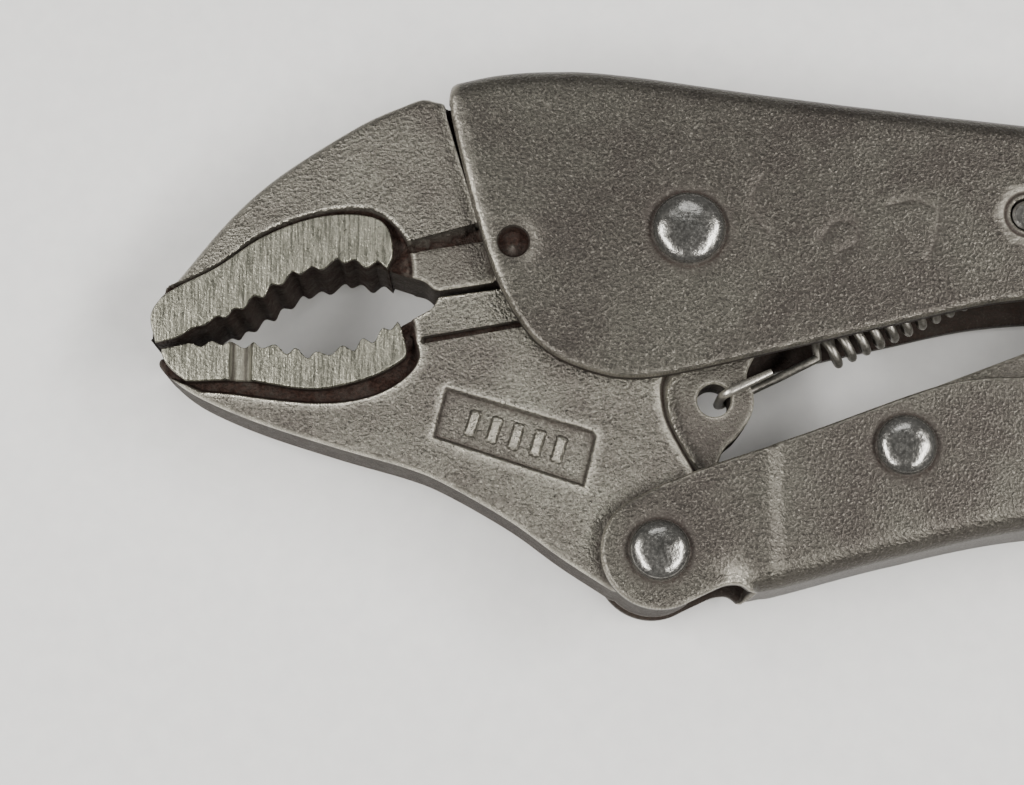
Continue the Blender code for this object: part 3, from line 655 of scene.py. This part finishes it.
ROLL_END = HANDLE_REACH - 20
ROLL_START = ROLL_END - 28
TOP_LINE = [(HANDLE_FRONT - 3, 18.2), (HANDLE_FRONT, 19.2), (-23.0, 20.5), (-16.5, 20.95),
            (-8.0, 20.5), (14.4, 17.3), (42.0, 13.9), (ROLL_END - 50, 8.4),
            (ROLL_END, screw_y(ROLL_END) + TAIL_RADIUS),
            (HANDLE_REACH, screw_y(HANDLE_REACH) + TAIL_RADIUS)]


def upper_top(x):
    return height_on(TOP_LINE, x)


def bent(p, depth, web, half, bend, side, straight_end=None, curl=1.0):
    """Places points of a flat pattern on a pressed channel, `depth` under its outer skin.
    The pattern's second coordinate is Y on the cheek and runs on round the bend and over the web."""
    start = web - side * bend
    s = (p[:, 1] - start) * side
    on_bend = np.clip(s, 0, bend * math.pi / 2)
    a = on_bend / bend
    over = np.maximum(s - bend * math.pi / 2, 0)
    y = np.where(s > 0, start + side * bend * np.sin(a), p[:, 1])
    z = half - bend + bend * np.cos(a) - over
    ny, nz = side * np.sin(a), np.cos(a)
    if straight_end is not None:
        c = np.maximum(straight_end - p[:, 1], 0)
        b = c / curl
        rolled = c > 0
        y = np.where(rolled, straight_end - curl * np.sin(b), y)
        z = np.where(rolled, half - curl + curl * np.cos(b), z)
        ny = np.where(rolled, -np.sin(b), ny)
        nz = np.where(rolled, np.cos(b), nz)
    return np.column_stack([p[:, 0], y - ny * depth, z - nz * depth])


def pattern_top(web, bend, half, side):
    """The pattern's second coordinate on the web's centre line."""
    return web - side * bend + side * (bend * math.pi / 2 + half - bend)

def guide_rings(centre, radii, steps=48):
    return [(circle(centre, radius, steps), (0,)) for radius in radii]


def guide_bend(x, web, bend, side):
    """Rows of points along a channel's bend."""
    return [(np.column_stack([x, web - side * bend + side * share * bend * math.pi / 2]), (0,))
            for share in np.linspace(0, 1, 9)]


def make_upper_handle():
    xs = np.linspace(-34, HANDLE_REACH + 1, 800)
    ease = step(xs - ROLL_START, ROLL_END - ROLL_START)
    half_line = UPPER_HALF + (TAIL_RADIUS - UPPER_HALF) * ease
    bend_line = BEND + (TAIL_RADIUS - .02 - BEND) * ease
    web_line = upper_top(xs)
    curl_length = TAIL_RADIUS * math.radians(72)
    cheek_low = through([(-29.1, 16.8), (-28.35, 12.5), (-25.55, 1.1), (-22.6, -7.4),
                         (-18.2, -14.0), (-12.1, -17.3), (-4.9, -18.1), (8.2, -15.4),
                         (25.1, -11.5), (40.0, -8.6), (60.0, -8.3), (90.0, -10.4),
                         (ROLL_START, -12.4)], 8)
    straight_line = (upper_top(ROLL_START) - BEND + 12.4) * (1 - ease) + .1
    roll_line = web_line - bend_line - straight_line
    # Nothing rolls in ahead of the tail, so the roll's line is out of the cheek's reach there.
    end_line = np.where(xs < ROLL_START, -90, roll_line)
    tail_x = np.linspace(ROLL_START, HANDLE_REACH, 50)[1:]
    tail_low = np.column_stack([tail_x, np.interp(tail_x, xs, roll_line - curl_length * ease)])
    front = HANDLE_FRONT + .35
    seam_x = np.linspace(HANDLE_REACH, front, 160)
    seam_web, seam_bend, seam_half = (np.interp(seam_x, xs, line)
                                      for line in (web_line, bend_line, half_line))
    seam = np.column_stack([seam_x, pattern_top(seam_web, seam_bend, seam_half, 1)])
    front_top = (front, pattern_top(upper_top(front), BEND, UPPER_HALF, 1))
    outline = [(cheek_low[:-1], .75), (tail_low, .5), (seam[:-1], -1), ([front_top], .75)]
    scribes = [through([(8.9, 6.3), (7.8, 4.0), (8.1, 1.6), (9.6, -.4)]),
               through([(16.0, -1.2), (17.8, .9), (20.0, .6), (20.3, -1.6), (18.2, -2.8)]),
               through([(24.2, 3.0), (27.6, 3.6), (29.8, 2.6)]),
               through([(30.4, 2.4), (30.0, -.8), (28.9, -3.4)])]

    def placed(p, depth, grime, wear):
        web, half, bend, end = (np.interp(p[:, 0], xs, line)
                                for line in (web_line, half_line, bend_line, end_line))
        return bent(p, depth, web, half, bend, 1, end, TAIL_RADIUS), {"wear": wear, "grime": grime}

    def inner_skin(p, d, r):
        # The channel's inside is painted with shade (.85).
        return placed(p, UPPER_WALL - fall(d, np.minimum(r, .2)), np.full(len(p), .85),
                      np.zeros(len(p)))

    def outer_skin(p, d, r):
        x, y = p.T
        stake_d, anchor_d, main_d = (from_point(p, centre) for centre in (STAKE, ANCHOR, MAIN))
        dot_d = from_point(p, (STAKE[0] - .1, STAKE[1] - .35))
        scribe_d = [near(p, line) for line in scribes]
        depth = .006 + fall(d, r) + .02 * (unevenness(p, 14, 21) + 1.6) * step(d, 2)
        depth += .15 * np.exp(-(stake_d / 2.7) ** 4) + 1.35 * step(2.05 - stake_d, .55)
        depth += .25 * np.sqrt(np.clip(1 - (stake_d / 1.6) ** 2, 0, 1))
        depth += .16 * ridge(anchor_d, 2.75, .16) + .12 * ridge(main_d, 4.75, .3)
        depth += .10 * sum(ridge(line_d, 0, .24) for line_d in scribe_d)
        depth -= .5 * ridge(dot_d, 0, .42)
        # The punched stake mark is dark with dirt and painted shade, left lighter at its dot as a
        # painted highlight; dirt rings the pins and the scribed lines.
        grime = most(step(2.1 - stake_d, .3) * (1 - .8 * ridge(dot_d, 0, .3)),
                     .8 * ridge(anchor_d, 2.75, .3), .75 * ridge(main_d, 4.7, .4),
                     *(.3 * ridge(line_d, 0, .3) for line_d in scribe_d))
        # Worn bright edges, a painted highlight along the upper part of the front edge, a painted
        # sheen right of the stake mark, and a worn rim with painted highlight round the anchor pin's
        # groove.
        front_highlight_zone = step(-19.5 - x, 4) * step(y + 9, 5)
        wear = most(.7 * ridge(d, .1, .2), .55 * front_highlight_zone * ridge(d, .55, .5),
                    .22 * ridge(stake_d, 2.7, .6) * step(x - STAKE[0], 2),
                    .5 * ridge(anchor_d, 3.1, .2))
        return placed(p, depth, grime, wear)

    holes = [(circle(MAIN, MAIN_PIN + PIN_PLAY), .1), (circle(ANCHOR, ANCHOR_PIN + PIN_PLAY), .2)]
    bend_x = np.linspace(-28, HANDLE_REACH, 330)
    guides = [*guide_rings(STAKE, (.3, .55, 1.55, 1.7, 1.85, 2.05, 2.5, 2.9, 3.4)),
              *guide_rings(ANCHOR, (2.45, 2.6, 2.75, 2.9, 3.05)),
              *guide_rings(MAIN, (4.45, 4.75, 5.05), 60),
              *((line, (-.3, -.15, 0, .15, .3)) for line in scribes),
              *guide_bend(bend_x, np.interp(bend_x, xs, web_line),
                          np.interp(bend_x, xs, bend_line), 1)]
    shell = Shell()
    plate(shell, outline, holes, outer_skin, inner_skin, 1.15, (.1, .25, .45, .7, 1.0), guides,
          .45)
    shell.mirror()
    return shell.object("upper_handle_pressing", weld=1e-3)


def make_lower_handle():
    tail = HANDLE_REACH - 15
    web_start = 7.3
    web_points = [(web_start, -43.8), (12.6, -42.7), (24.5, -39.6), (39.4, -36.5),
                  (60.0, -34.6), (80.0, -33.8), (tail - 48, -32.9), (tail - 28, -33.1),
                  (tail - 11, -35.6), (tail + 3, -40.5)]
    xs = np.linspace(-14, tail + 3, 700)
    web_line = height_on(web_points, xs) - 3.2 * np.maximum(web_start - xs, 0)
    half_line = EAR_HALF + (GRIP_HALF - EAR_HALF) * step(xs - 8.6, 2.4)
    top = through([(-3.7, -31.1), (3.2, -28.5), (12.6, -25.4), (24.6, -21.0), (30.6, -19.1),
                   (35.0, -18.45), (40.0, -18.4), (60.0, -19.0), (80.0, -19.8),
                   (tail - 50, -20.8), (tail - 30, -22.6), (tail - 12, -26.3),
                   (tail - 2, -31.0)])
    tip = through([(tail - 2, -31.0), (tail + 1, -33.5), (tail + 2, -37.0)])[1:]
    seam_x = np.linspace(tail + 1.6, web_start, 150)
    seam_web, seam_half = (np.interp(seam_x, xs, line) for line in (web_line, half_line))
    seam = np.column_stack([seam_x, pattern_top(seam_web, BEND, seam_half, -1)])
    notch = through([(web_start, -46.5), (7.1, -44.9), (6.4, -43.8), (5.2, -43.0), (3.5, -43.1),
                     (1.6, -43.9)])
    ear = arc(JAW_PIVOT, 6.9, -60, -252, 60)
    outline = [(top[:-1], .45), (tip, .6), ([(tail + 2, -40.0)], .6), (seam[:-1], -1),
               ([seam[-1]], .5), (notch, .55), (ear, .6)]
    # Each pivot, its pin and the radius of the dent round the rivet's head.
    pivots = [(JAW_PIVOT, SMALL_PIN, 3.8), (LINK_PIVOT, SMALL_PIN, 3.8),
              (LEVER_PIVOT, LEVER_PIN, 3.1)]

    def placed(p, depth, grime, wear):
        web, half = (np.interp(p[:, 0], xs, line) for line in (web_line, half_line))
        return bent(p, depth, web, half, BEND, -1), {"wear": wear, "grime": grime}

    def inner_skin(p, d, r):
        # The channel's inside is painted with shade (.8).
        return placed(p, LOWER_WALL - fall(d, np.minimum(r, .2)), np.full(len(p), .8),
                      np.zeros(len(p)))

    def outer_skin(p, d, r):
        x, y = p.T
        crease = ridge(x + (y + 33) * .03, 9.9, 1.1)
        dents = [(from_point(p, pivot), radius) for pivot, _, radius in pivots]
        depth = fall(d, r) + .02 * (unevenness(p, 12, 31) + 1.6) * step(d, 2)
        depth += .5 * ridge(from_point(p, (4.8, -41.4)), 0, 1.8) - .07 * crease
        depth += .08 * sum(ridge(pivot_d, radius, .25) for pivot_d, radius in dents)
        above_web = y - np.interp(x, xs, web_line)
        # Darker towards the web over the bend, and dirt round the rivets' dents.
        grime = most(.35 * step(BEND - 1 - above_web, 2.5),
                     *(.7 * ridge(pivot_d, radius, .35) for pivot_d, radius in dents))
        # Worn bright edges, a faint painted highlight along the joggle's crease, and a painted
        # highlight on the dent above the notch.
        wear = most(.85 * ridge(d, .1, .2), .03 * crease,
                    .9 * ridge(from_point(p, (5.0, -41.9)), 0, 1.1))
        return placed(p, depth, grime, wear)

    bend_x = np.linspace(web_start, tail + 2, 300)
    guides = [ring for pivot, _, radius in pivots
              for ring in guide_rings(pivot, (radius - .25, radius, radius + .25))]
    guides += guide_bend(bend_x, np.interp(bend_x, xs, web_line), BEND, -1)
    guides += [([(x, -20), (x, -55)], (0,)) for x in (8.6, 9.2, 9.8, 10.4, 11.0)]
    holes = [(circle(pivot, pin + PIN_PLAY), .1) for pivot, pin, _ in pivots]
    shell = Shell()
    plate(shell, outline, holes, outer_skin, inner_skin, 1.1, (.1, .25, .4, .6), guides, .45)
    shell.mirror()
    return shell.object("lower_handle_pressing", weld=1e-3)


# ---- link, lever, pins and rivets ----

def make_toggle_link():
    run = np.array(TOGGLE) - np.array(LINK_PIVOT)
    slope = math.degrees(math.atan2(run[1], run[0]))
    middle = np.array(LINK_PIVOT) + .55 * run
    across = np.array([-run[1], run[0]]) / np.linalg.norm(run)
    foot = arc(LINK_PIVOT, 5.8, slope + 90, slope + 270, 30)
    nose = arc(TOGGLE, TOGGLE_NOSE, slope - 90, slope + 90, 24)
    lower_side = through([foot[-1], middle - 4.7 * across, nose[0]], 10)[1:-1]
    upper_side = through([nose[-1], middle + 4.7 * across, foot[0]], 10)[1:-1]
    shell = Shell()
    plate(shell, [(foot, .7), (lower_side, .7), (nose, .5), (upper_side, .7)],
          [(circle(LINK_PIVOT, SMALL_PIN + PIN_PLAY), .2)], *slab(5.5, .25, .03, 41), 1.3,
          (.15, .35, .6))
    return shell.object("toggle_link_forging")


def make_release_lever():
    tail = HANDLE_REACH - 7
    boss = arc(LEVER_PIVOT, 4.4, 235, 300, 14)
    under = through([(97.0, -27.2), (118.0, -25.4), (tail - 22, -25.2), (tail - 8, -24.2),
                     (tail, -20.6)])
    over = through([(tail + 0.4, -18.2), (tail - 1.6, -17.8), (tail - 9, -20.6),
                    (tail - 20, -20.9), (118.0, -20.4), (97.0, -21.4), (86.0, -22.0),
                    (72.0, -23.0), (60.0, -24.0), (52.0, -24.8)])
    nose = arc((51.5, -26.6), 1.8, 100, 260, 14)
    lower_line = through([(60.0, -28.8), (71.0, -30.0)])
    thumb = through([(tail - 22, -25.1), (tail - 8, -24.1), (tail - 0.1, -20.6),
                     (tail + 0.2, -18.3), (tail - 1.6, -17.9), (tail - 9, -20.7),
                     (tail - 20, -21.0)])
    shell = Shell()
    plate(shell, [(boss, .4), (under, .4), (over, .4), (nose, .3), (lower_line, .4)],
          [(circle(LEVER_PIVOT, LEVER_PIN + PIN_PLAY), .2)], *slab(3.2, .15, .02, 51), 1.2,
          (.12, .3))
    plate(shell, [(thumb, .8)], [], *slab(5.6, .15, .02, 52), 1.0, (.15, .35, .6))
    return shell.object("release_lever_pressing")


def make_rivet(name, centre, pin, rim, dome, face, seed):
    """A peened rivet: worn, slightly flattened domes and a plain shank."""
    head, under = pin + rim, face + PIN_PLAY
    half = [(pin, under)]
    for a in np.linspace(0, math.pi / 2, 15)[:-1]:
        half.append((head * math.cos(a) ** .9, under + dome * math.sin(a) ** .85))
    half.append((0, under + dome))
    verts, faces = lathe([(r, -z) for r, z in reversed(half)] + half, 72)
    above = np.abs(verts[:, 2]) - under
    beaten = (unevenness(verts[:, :2], 3.2, seed) * .045
              + unevenness(verts[:, :2], 1.5, seed) * .02 + .035)
    away = np.clip((above - .25) / .8, 0, 1)
    grime = .8 * step(.35 - above, .3)
    wear = .12 * step(np.linalg.norm(verts[:, :2], axis=1), head) * away
    verts[:, 2] -= np.sign(verts[:, 2]) * np.maximum(beaten, 0) * away
    verts[:, :2] += centre
    shell = Shell()
    shell.add(verts, faces, grime=grime, wear=wear)
    return shell.object(name, 50)


def make_anchor_pin():
    half, tip, chamfer = UPPER_HALF - .1, ANCHOR_PIN - .35, .3
    verts, faces = lathe([(0, -half), (tip, -half), (ANCHOR_PIN, -half + chamfer),
                          (ANCHOR_PIN, half - chamfer), (tip, half), (0, half)], 48)
    side = np.linalg.norm(verts[:, :2], axis=1) > ANCHOR_PIN - .2
    verts[:, :2] += ANCHOR
    shell = Shell()
    shell.add(verts, faces, grime=.5 * side, wear=.3 * ~side)
    return shell.object("spring_anchor_pin_detail")


def lay_along_screw(verts, start):
    """Moves a piece turned about Z to the screw's axis, `start` behind the toggle."""
    along = np.array([math.cos(SCREW_SLOPE), math.sin(SCREW_SLOPE), 0])
    turn = np.array(Matrix.Rotation(SCREW_SLOPE, 3, "Z") @ Matrix.Rotation(math.pi / 2, 3, "Y"))
    return verts @ turn.T + (*TOGGLE, 0) + start * along


def make_screw_tip():
    profile = [(0, 0)]
    for a in np.radians(np.linspace(8, 90, 12)):
        profile.append((THREAD_RADIUS * math.sin(a), 2.4 * (1 - math.cos(a))))
    profile += [(THREAD_RADIUS, TIP_LENGTH - .3), (THREAD_RADIUS - .3, TIP_LENGTH),
                (0, TIP_LENGTH)]
    verts, faces = lathe(profile, 56)
    shell = Shell()
    shell.add(lay_along_screw(verts, TOGGLE_NOSE + TIP_GAP), [f[::-1] for f in faces])
    return shell.object("screw_tip_detail")


def thread(length):
    """Vertices, faces and groove darkening of the screw's thread, which fades out at both ends."""
    sides, per_turn = 48, 10
    rows = int((length - .4) / THREAD_PITCH * per_turn)
    around = np.arange(sides) / sides
    verts, grime = [], []
    for k in range(rows + 1):
        z = .2 + (length - .3) * k / rows
        phase = (z / THREAD_PITCH - around) % 1
        cut = np.clip(1.25 - np.abs(2 * phase - 1) * 1.5, 0, 1)
        fade = min(1, k / 8) * min(1, (rows - k) / 14)
        r = THREAD_RADIUS - .85 * cut * fade - .9 * (1 - min(1, k / 6))
        verts += [(q * math.cos(math.tau * t), q * math.sin(math.tau * t), z)
                  for q, t in zip(r, around)]
        grime += list(.8 * cut)
    faces = sleeve(rows + 1, sides) + [tuple(range(sides))[::-1]]
    return np.array(verts), faces, np.array(grime)


def make_adjusting_screw():
    """A coarse right-hand screw with a knurled knob."""
    start = TOGGLE_NOSE + TIP_GAP + TIP_LENGTH + .3
    neck = (HANDLE_REACH - TOGGLE[0]) / math.cos(SCREW_SLOPE) + 4.0 - start
    end = neck + 16.49
    verts, faces, grime = thread(neck)
    shell = Shell()
    shell.add(lay_along_screw(verts, start), faces, grime=grime, wear=.3 * (1 - grime))
    profile = [(4.4, neck), (6.0, neck), (6.6, neck + .25), (KNOB_RADIUS, neck + 1.2)]
    profile += [(KNOB_RADIUS, z) for z in np.linspace(neck + 1.8, end - 1.9, 26)]
    profile += [(KNOB_RADIUS, end - 1.4), (6.5, end - .35), (5.8, end), (3.0, end),
                (2.75, end - .5), (2.6, end - 2.5), (0, end - 2.5)]
    verts, faces = lathe(profile, 240)
    radial = np.linalg.norm(verts[:, :2], axis=1)
    angle = np.arctan2(verts[:, 1], verts[:, 0])
    ridges, ring_spacing = 24, 1.35
    on_ridge = step(radial - 6.9, .25)
    groove = np.abs(np.cos(angle * ridges / 2)) ** 6
    cross = .35 * np.abs(np.sin((verts[:, 2] - neck) * math.pi / ring_spacing)) ** 8
    dip = .48 * np.maximum(groove, cross) * on_ridge
    verts[:, :2] *= (1 - dip / np.maximum(radial, 1e-3))[:, None]
    shell.add(lay_along_screw(verts, start), faces, grime=.7 * step(dip, .4),
              wear=.5 * on_ridge * (1 - step(dip, .3)))
    return shell.object("adjusting_screw_detail", 45)


def make_return_spring():
    """The spring with its two ends: a hook through the tongue's hole and a loop round the pin."""
    forward = np.array([math.cos(SPRING_SLOPE), math.sin(SPRING_SLOPE), 0])
    sideways = np.array([-forward[1], forward[0], 0])
    up = np.array([0, 0, 1.0])
    wire, coil, turns, pitch, lead = .55, 2.0, 13, 1.94, 15.0
    centre, pin = np.array([*HOOK_HOLE, 0]), np.array([*ANCHOR, 0])
    hole = centre + forward * 1.05
    over, bend = TONGUE_HALF + .3 + wire, 1.3
    route = [hole + up * (over + .35) + forward * 6.6, hole + up * (over + .15) + forward * 3.4]
    for side, angles in ((1, np.linspace(90, 0, 9)), (-1, np.linspace(0, -90, 9))):
        for a in np.radians(angles):
            route.append(hole + up * (side * (over - bend) + bend * math.sin(a))
                         + forward * bend * (1 - math.cos(a)))
    start = centre + forward * lead
    route.append(start - up * (over - .5) - forward * 5.5)
    route.append(start - up * (coil + .5) - forward * 2.4)
    per_turn = 22
    for k in range(turns * per_turn + 1):
        a = math.tau * k / per_turn + math.pi
        route.append(start + forward * pitch * k / per_turn
                     + coil * (up * math.cos(a) - sideways * math.sin(a)))
    loop = ANCHOR_PIN + wire + .25
    for a in np.radians(np.linspace(-90, 117, 19)):
        route.append(pin + loop * (forward * math.cos(a) + sideways * math.sin(a)))
    verts, faces = tube(route, wire)
    shell = Shell()
    shell.add(verts, faces, grime=np.full(len(verts), .12), wear=.8 * (verts[:, 2] > over - .9))
    return shell.object("return_spring_wire", 60), hole, pin


# ---- materials ----

class Graph:
    """A small helper that adds shader nodes and links them."""

    def __init__(self, name):
        self.material = bpy.data.materials.new(name)
        self.material.use_nodes = True
        self.tree = self.material.node_tree
        self.shader = self.tree.nodes["Principled BSDF"]

    def add(self, kind, values=None, **settings):
        node = self.tree.nodes.new(kind)
        for key, value in settings.items():
            setattr(node, key, value)
        for key, value in (values or {}).items():
            self.feed(node.inputs[key], value)
        return node

    def feed(self, socket, value):
        if isinstance(value, bpy.types.NodeSocket):
            self.tree.links.new(value, socket)
        elif isinstance(value, bpy.types.Node):
            self.tree.links.new(value.outputs[0], socket)
        else:
            socket.default_value = value

    def coords(self, scale):
        place = self.add("ShaderNodeTexCoord")
        return self.add("ShaderNodeMapping", {"Vector": place.outputs["Object"], "Scale": scale})

    def noise(self, vector, scale, detail=3.0, rough=.55):
        return self.add("ShaderNodeTexNoise", {"Vector": vector, "Scale": scale, "Detail": detail,
                                               "Roughness": rough}).outputs["Fac"]

    def span(self, value, low, high, to_low=0.0, to_high=1.0):
        return self.add("ShaderNodeMapRange", {"Value": value, "From Min": low, "From Max": high,
                                               "To Min": to_low, "To Max": to_high}).outputs[0]

    def math(self, kind, a, b):
        return self.add("ShaderNodeMath", {0: a, 1: b}, operation=kind).outputs[0]

    def mix(self, factor, a, b):
        node = self.add("ShaderNodeMix", data_type="RGBA")
        self.feed(node.inputs[0], factor)
        self.feed(node.inputs[6], a)
        self.feed(node.inputs[7], b)
        return node.outputs[2]

    def layer(self, name):
        return self.add("ShaderNodeAttribute", attribute_name=name).outputs["Fac"]


# Near-black brown for dirt and rust in hollows and for painted shade on walls, in moats and inside
# the channels.
DARK_RUST_AND_SHADE = (.022, .012, .009)


def opaque(colour, share=1):
    return (*[c * share for c in colour], 1)


def steel(name, dark, light, bright, rough, grain, metal=.85):
    """Old, handled steel: fine grain with painted glints, worn bright edges with painted highlights,
    and brown dirt with painted shade in the corners.
    grain is the depth of its unevenness in millimetres."""
    g = Graph(name)
    mm = g.coords((1000, 1000, 1000))
    cloud = g.noise(mm, .09, 4.0)
    fine = g.noise(mm, 2.6, 2.5, .62)
    sparkle = g.noise(mm, 3.4, 1.0)
    patch = g.noise(mm, .55, 4.0, .65)
    wear = g.math("MULTIPLY", g.layer("wear"), g.span(patch, .3, .6, .35, 1.0))
    grime = g.math("MULTIPLY", g.layer("grime"), g.span(patch, .25, .6, .82, 1.0))
    tone = g.mix(g.span(cloud, .38, .62), opaque(dark), opaque(light))
    tone = g.mix(g.span(fine, .40, .64, 0, .6), tone, opaque(dark, .42))
    # Scattered bright specks are painted glints of the grain.
    tone = g.mix(g.span(sparkle, .57, .75, 0, .19), tone, opaque(bright))
    # Worn edges and painted highlights take the bright colour.
    tone = g.mix(wear, tone, opaque(bright))
    # Dirt and painted shade take the dark rust colour.
    rust_and_shade = g.mix(g.span(fine, .4, .65), opaque(DARK_RUST_AND_SHADE, .45), opaque(DARK_RUST_AND_SHADE))
    g.feed(g.shader.inputs["Base Color"], g.mix(grime, tone, rust_and_shade))
    roughness = g.span(fine, .3, .7, rough + .08, rough - .07)
    roughness = g.math("SUBTRACT", roughness, g.math("MULTIPLY", wear, .12))
    roughness = g.math("ADD", roughness, g.math("MULTIPLY", grime, .35))
    g.feed(g.shader.inputs["Roughness"], roughness)
    g.feed(g.shader.inputs["Metallic"],
           g.math("MULTIPLY", metal, g.math("SUBTRACT", 1.0, grime)))
    g.feed(g.shader.inputs["Specular IOR Level"], g.span(grime, 0, 1, .5, .05))
    height = g.math("ADD", fine, g.math("MULTIPLY", patch, .6))
    bump = g.add("ShaderNodeBump", {"Strength": 1.0, "Distance": grain * .001, "Height": height})
    g.feed(g.shader.inputs["Normal"], bump)
    return g


def ground_over(g, tone_dark, tone_light):
    """Adds the pale, finely ground finish where the mesh's `ground` layer is set."""
    streak = g.noise(g.coords((3600, 260, 1000)), 1.0, 3.0, .7)
    layer = g.layer("ground")
    old = g.shader.inputs["Base Color"].links[0].from_socket
    face = g.mix(g.span(streak, .38, .62), opaque(tone_dark), opaque(tone_light))
    grime = g.math("MULTIPLY", g.layer("grime"), .9)
    face = g.mix(grime, face, (.022, .017, .014, 1))
    g.feed(g.shader.inputs["Base Color"], g.mix(layer, old, face))
    bump = g.shader.inputs["Normal"].links[0].from_node
    cut = g.add("ShaderNodeBump", {"Strength": layer, "Distance": .00005, "Height": streak,
                                   "Normal": bump})
    g.feed(g.shader.inputs["Normal"], cut)
    # The coarse grain under it fades where the ground face is.
    g.feed(bump.inputs["Strength"], g.math("SUBTRACT", 1.0, g.math("MULTIPLY", layer, .65)))


def make_finishes():
    """The five finishes, by the record's material slots."""
    forged = steel("forged_steel_old", (.078, .070, .060), (.124, .118, .098), (.58, .55, .46),
                   .34, .27)
    ground_over(forged, (.100, .098, .078), (.285, .275, .220))
    return {
        "forged_steel": forged,
        "pressed_steel": steel("pressed_steel_old", (.058, .051, .044), (.082, .077, .064),
                               (.48, .45, .38), .39, .15),
        "rivet_steel": steel("rivet_steel_worn", (.15, .146, .134), (.21, .204, .19),
                             (.52, .50, .46), .22, .028),
        "screw_steel": steel("screw_steel_oiled", (.10, .095, .085), (.14, .132, .118),
                             (.42, .40, .36), .34, .02),
        "spring_wire": steel("spring_wire_worn", (.24, .23, .20), (.36, .34, .30),
                             (.60, .57, .50), .36, .012, .95),
    }


def paint(obj, graph):
    obj.data.materials.clear()
    obj.data.materials.append(graph.material)


# ---- assembly ----

finishes = make_finishes()
spring, spring_start, spring_end = make_return_spring()
# Each piece, the CAD node it stands for, the body it rides on and its material slot.
made = [
    (make_fixed_jaw(), "fixed_jaw", "upper_handle", "forged_steel"),
    (make_upper_handle(), "upper_handle", "upper_handle", "pressed_steel"),
    (make_rivet("main_rivet_dome", MAIN, MAIN_PIN, 1.0, 1.7, UPPER_HALF, 61), "main_rivet",
     "upper_handle", "rivet_steel"),
    (make_anchor_pin(), "spring_anchor_pin", "upper_handle", "rivet_steel"),
    (make_moving_jaw(), "moving_jaw", "moving_jaw", "forged_steel"),
    (make_rivet("jaw_rivet_dome", JAW_PIVOT, SMALL_PIN, .95, 1.5, EAR_HALF, 62), "jaw_rivet",
     "moving_jaw", "rivet_steel"),
    (make_lower_handle(), "lower_handle", "lower_handle", "pressed_steel"),
    (make_rivet("link_rivet_dome", LINK_PIVOT, SMALL_PIN, .95, 1.5, GRIP_HALF, 63), "link_rivet",
     "lower_handle", "rivet_steel"),
    (make_rivet("lever_pin_dome", LEVER_PIVOT, LEVER_PIN, .9, .8, GRIP_HALF, 64), "lever_pin",
     "lower_handle", "rivet_steel"),
    (make_toggle_link(), "toggle_link", "toggle_link", "forged_steel"),
    (make_release_lever(), "release_lever", "release_lever", "pressed_steel"),
    (make_screw_tip(), "screw_tip", "screw_carrier", "screw_steel"),
    (make_adjusting_screw(), "adjusting_screw", "screw", "screw_steel"),
]
for piece, node, body, slot in made:
    paint(piece, finishes[slot])
    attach(piece, body)
    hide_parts(node)

paint(spring, finishes["spring_wire"])
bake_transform(spring)
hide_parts("return_spring")


# ---- floor, lights and camera ----

def make_floor(half=3.0):
    mesh = bpy.data.meshes.new("floor")
    mesh.from_pydata([(-half, -half, 0), (half, -half, 0), (half, half, 0), (-half, half, 0)], [],
                     [(0, 1, 2, 3)])
    floor = bpy.data.objects.new("floor", mesh)
    bpy.context.scene.collection.objects.link(floor)
    paper = Graph("floor_paper")
    cloud = paper.noise(paper.coords((1000, 1000, 1000)), .35, 4.0)
    paper.feed(paper.shader.inputs["Base Color"],
               paper.mix(paper.span(cloud, .3, .7), (.60, .595, .585, 1), (.64, .635, .62, 1)))
    paper.feed(paper.shader.inputs["Roughness"], .9)
    paint(floor, paper)
    return floor


def area_light(name, place, size, watts, colour, target=(-.06, -.01, 0)):
    data = bpy.data.lights.new(name, "AREA")
    data.shape = "RECTANGLE"
    data.size, data.size_y = size
    data.energy = watts
    data.color = colour
    lamp = bpy.data.objects.new(name, data)
    bpy.context.scene.collection.objects.link(lamp)
    lamp.location = place
    lamp.rotation_euler = (Vector(target) - Vector(place)).to_track_quat("-Z", "Y").to_euler()


def make_world(colour, strength):
    world = bpy.data.worlds.new("studio")
    world.use_nodes = True
    background = world.node_tree.nodes["Background"]
    background.inputs["Color"].default_value = colour
    background.inputs["Strength"].default_value = strength
    bpy.context.scene.world = world


def make_camera(place, tilt, lens):
    data = bpy.data.cameras.new("camera")
    data.lens = lens
    data.sensor_width = 36
    data.clip_start = .01
    camera = bpy.data.objects.new("camera", data)
    bpy.context.scene.collection.objects.link(camera)
    camera.location = place
    camera.rotation_euler = (math.radians(tilt), 0, 0)
    bpy.context.scene.camera = camera


make_floor()
for side, x in (("left", -.54), ("right", .42)):
    area_light(side + "_window", (x, -.14, .64), (.8, .14), 11.5, (1, .985, .96))
area_light("far_window", (-.06, .62, .80), (.4, .2), 1.5, (.97, .985, 1))
make_world((.83, .85, .88, 1), .10)
make_camera((-.081686, -.055113, .252215), 11.5, 70.3125)
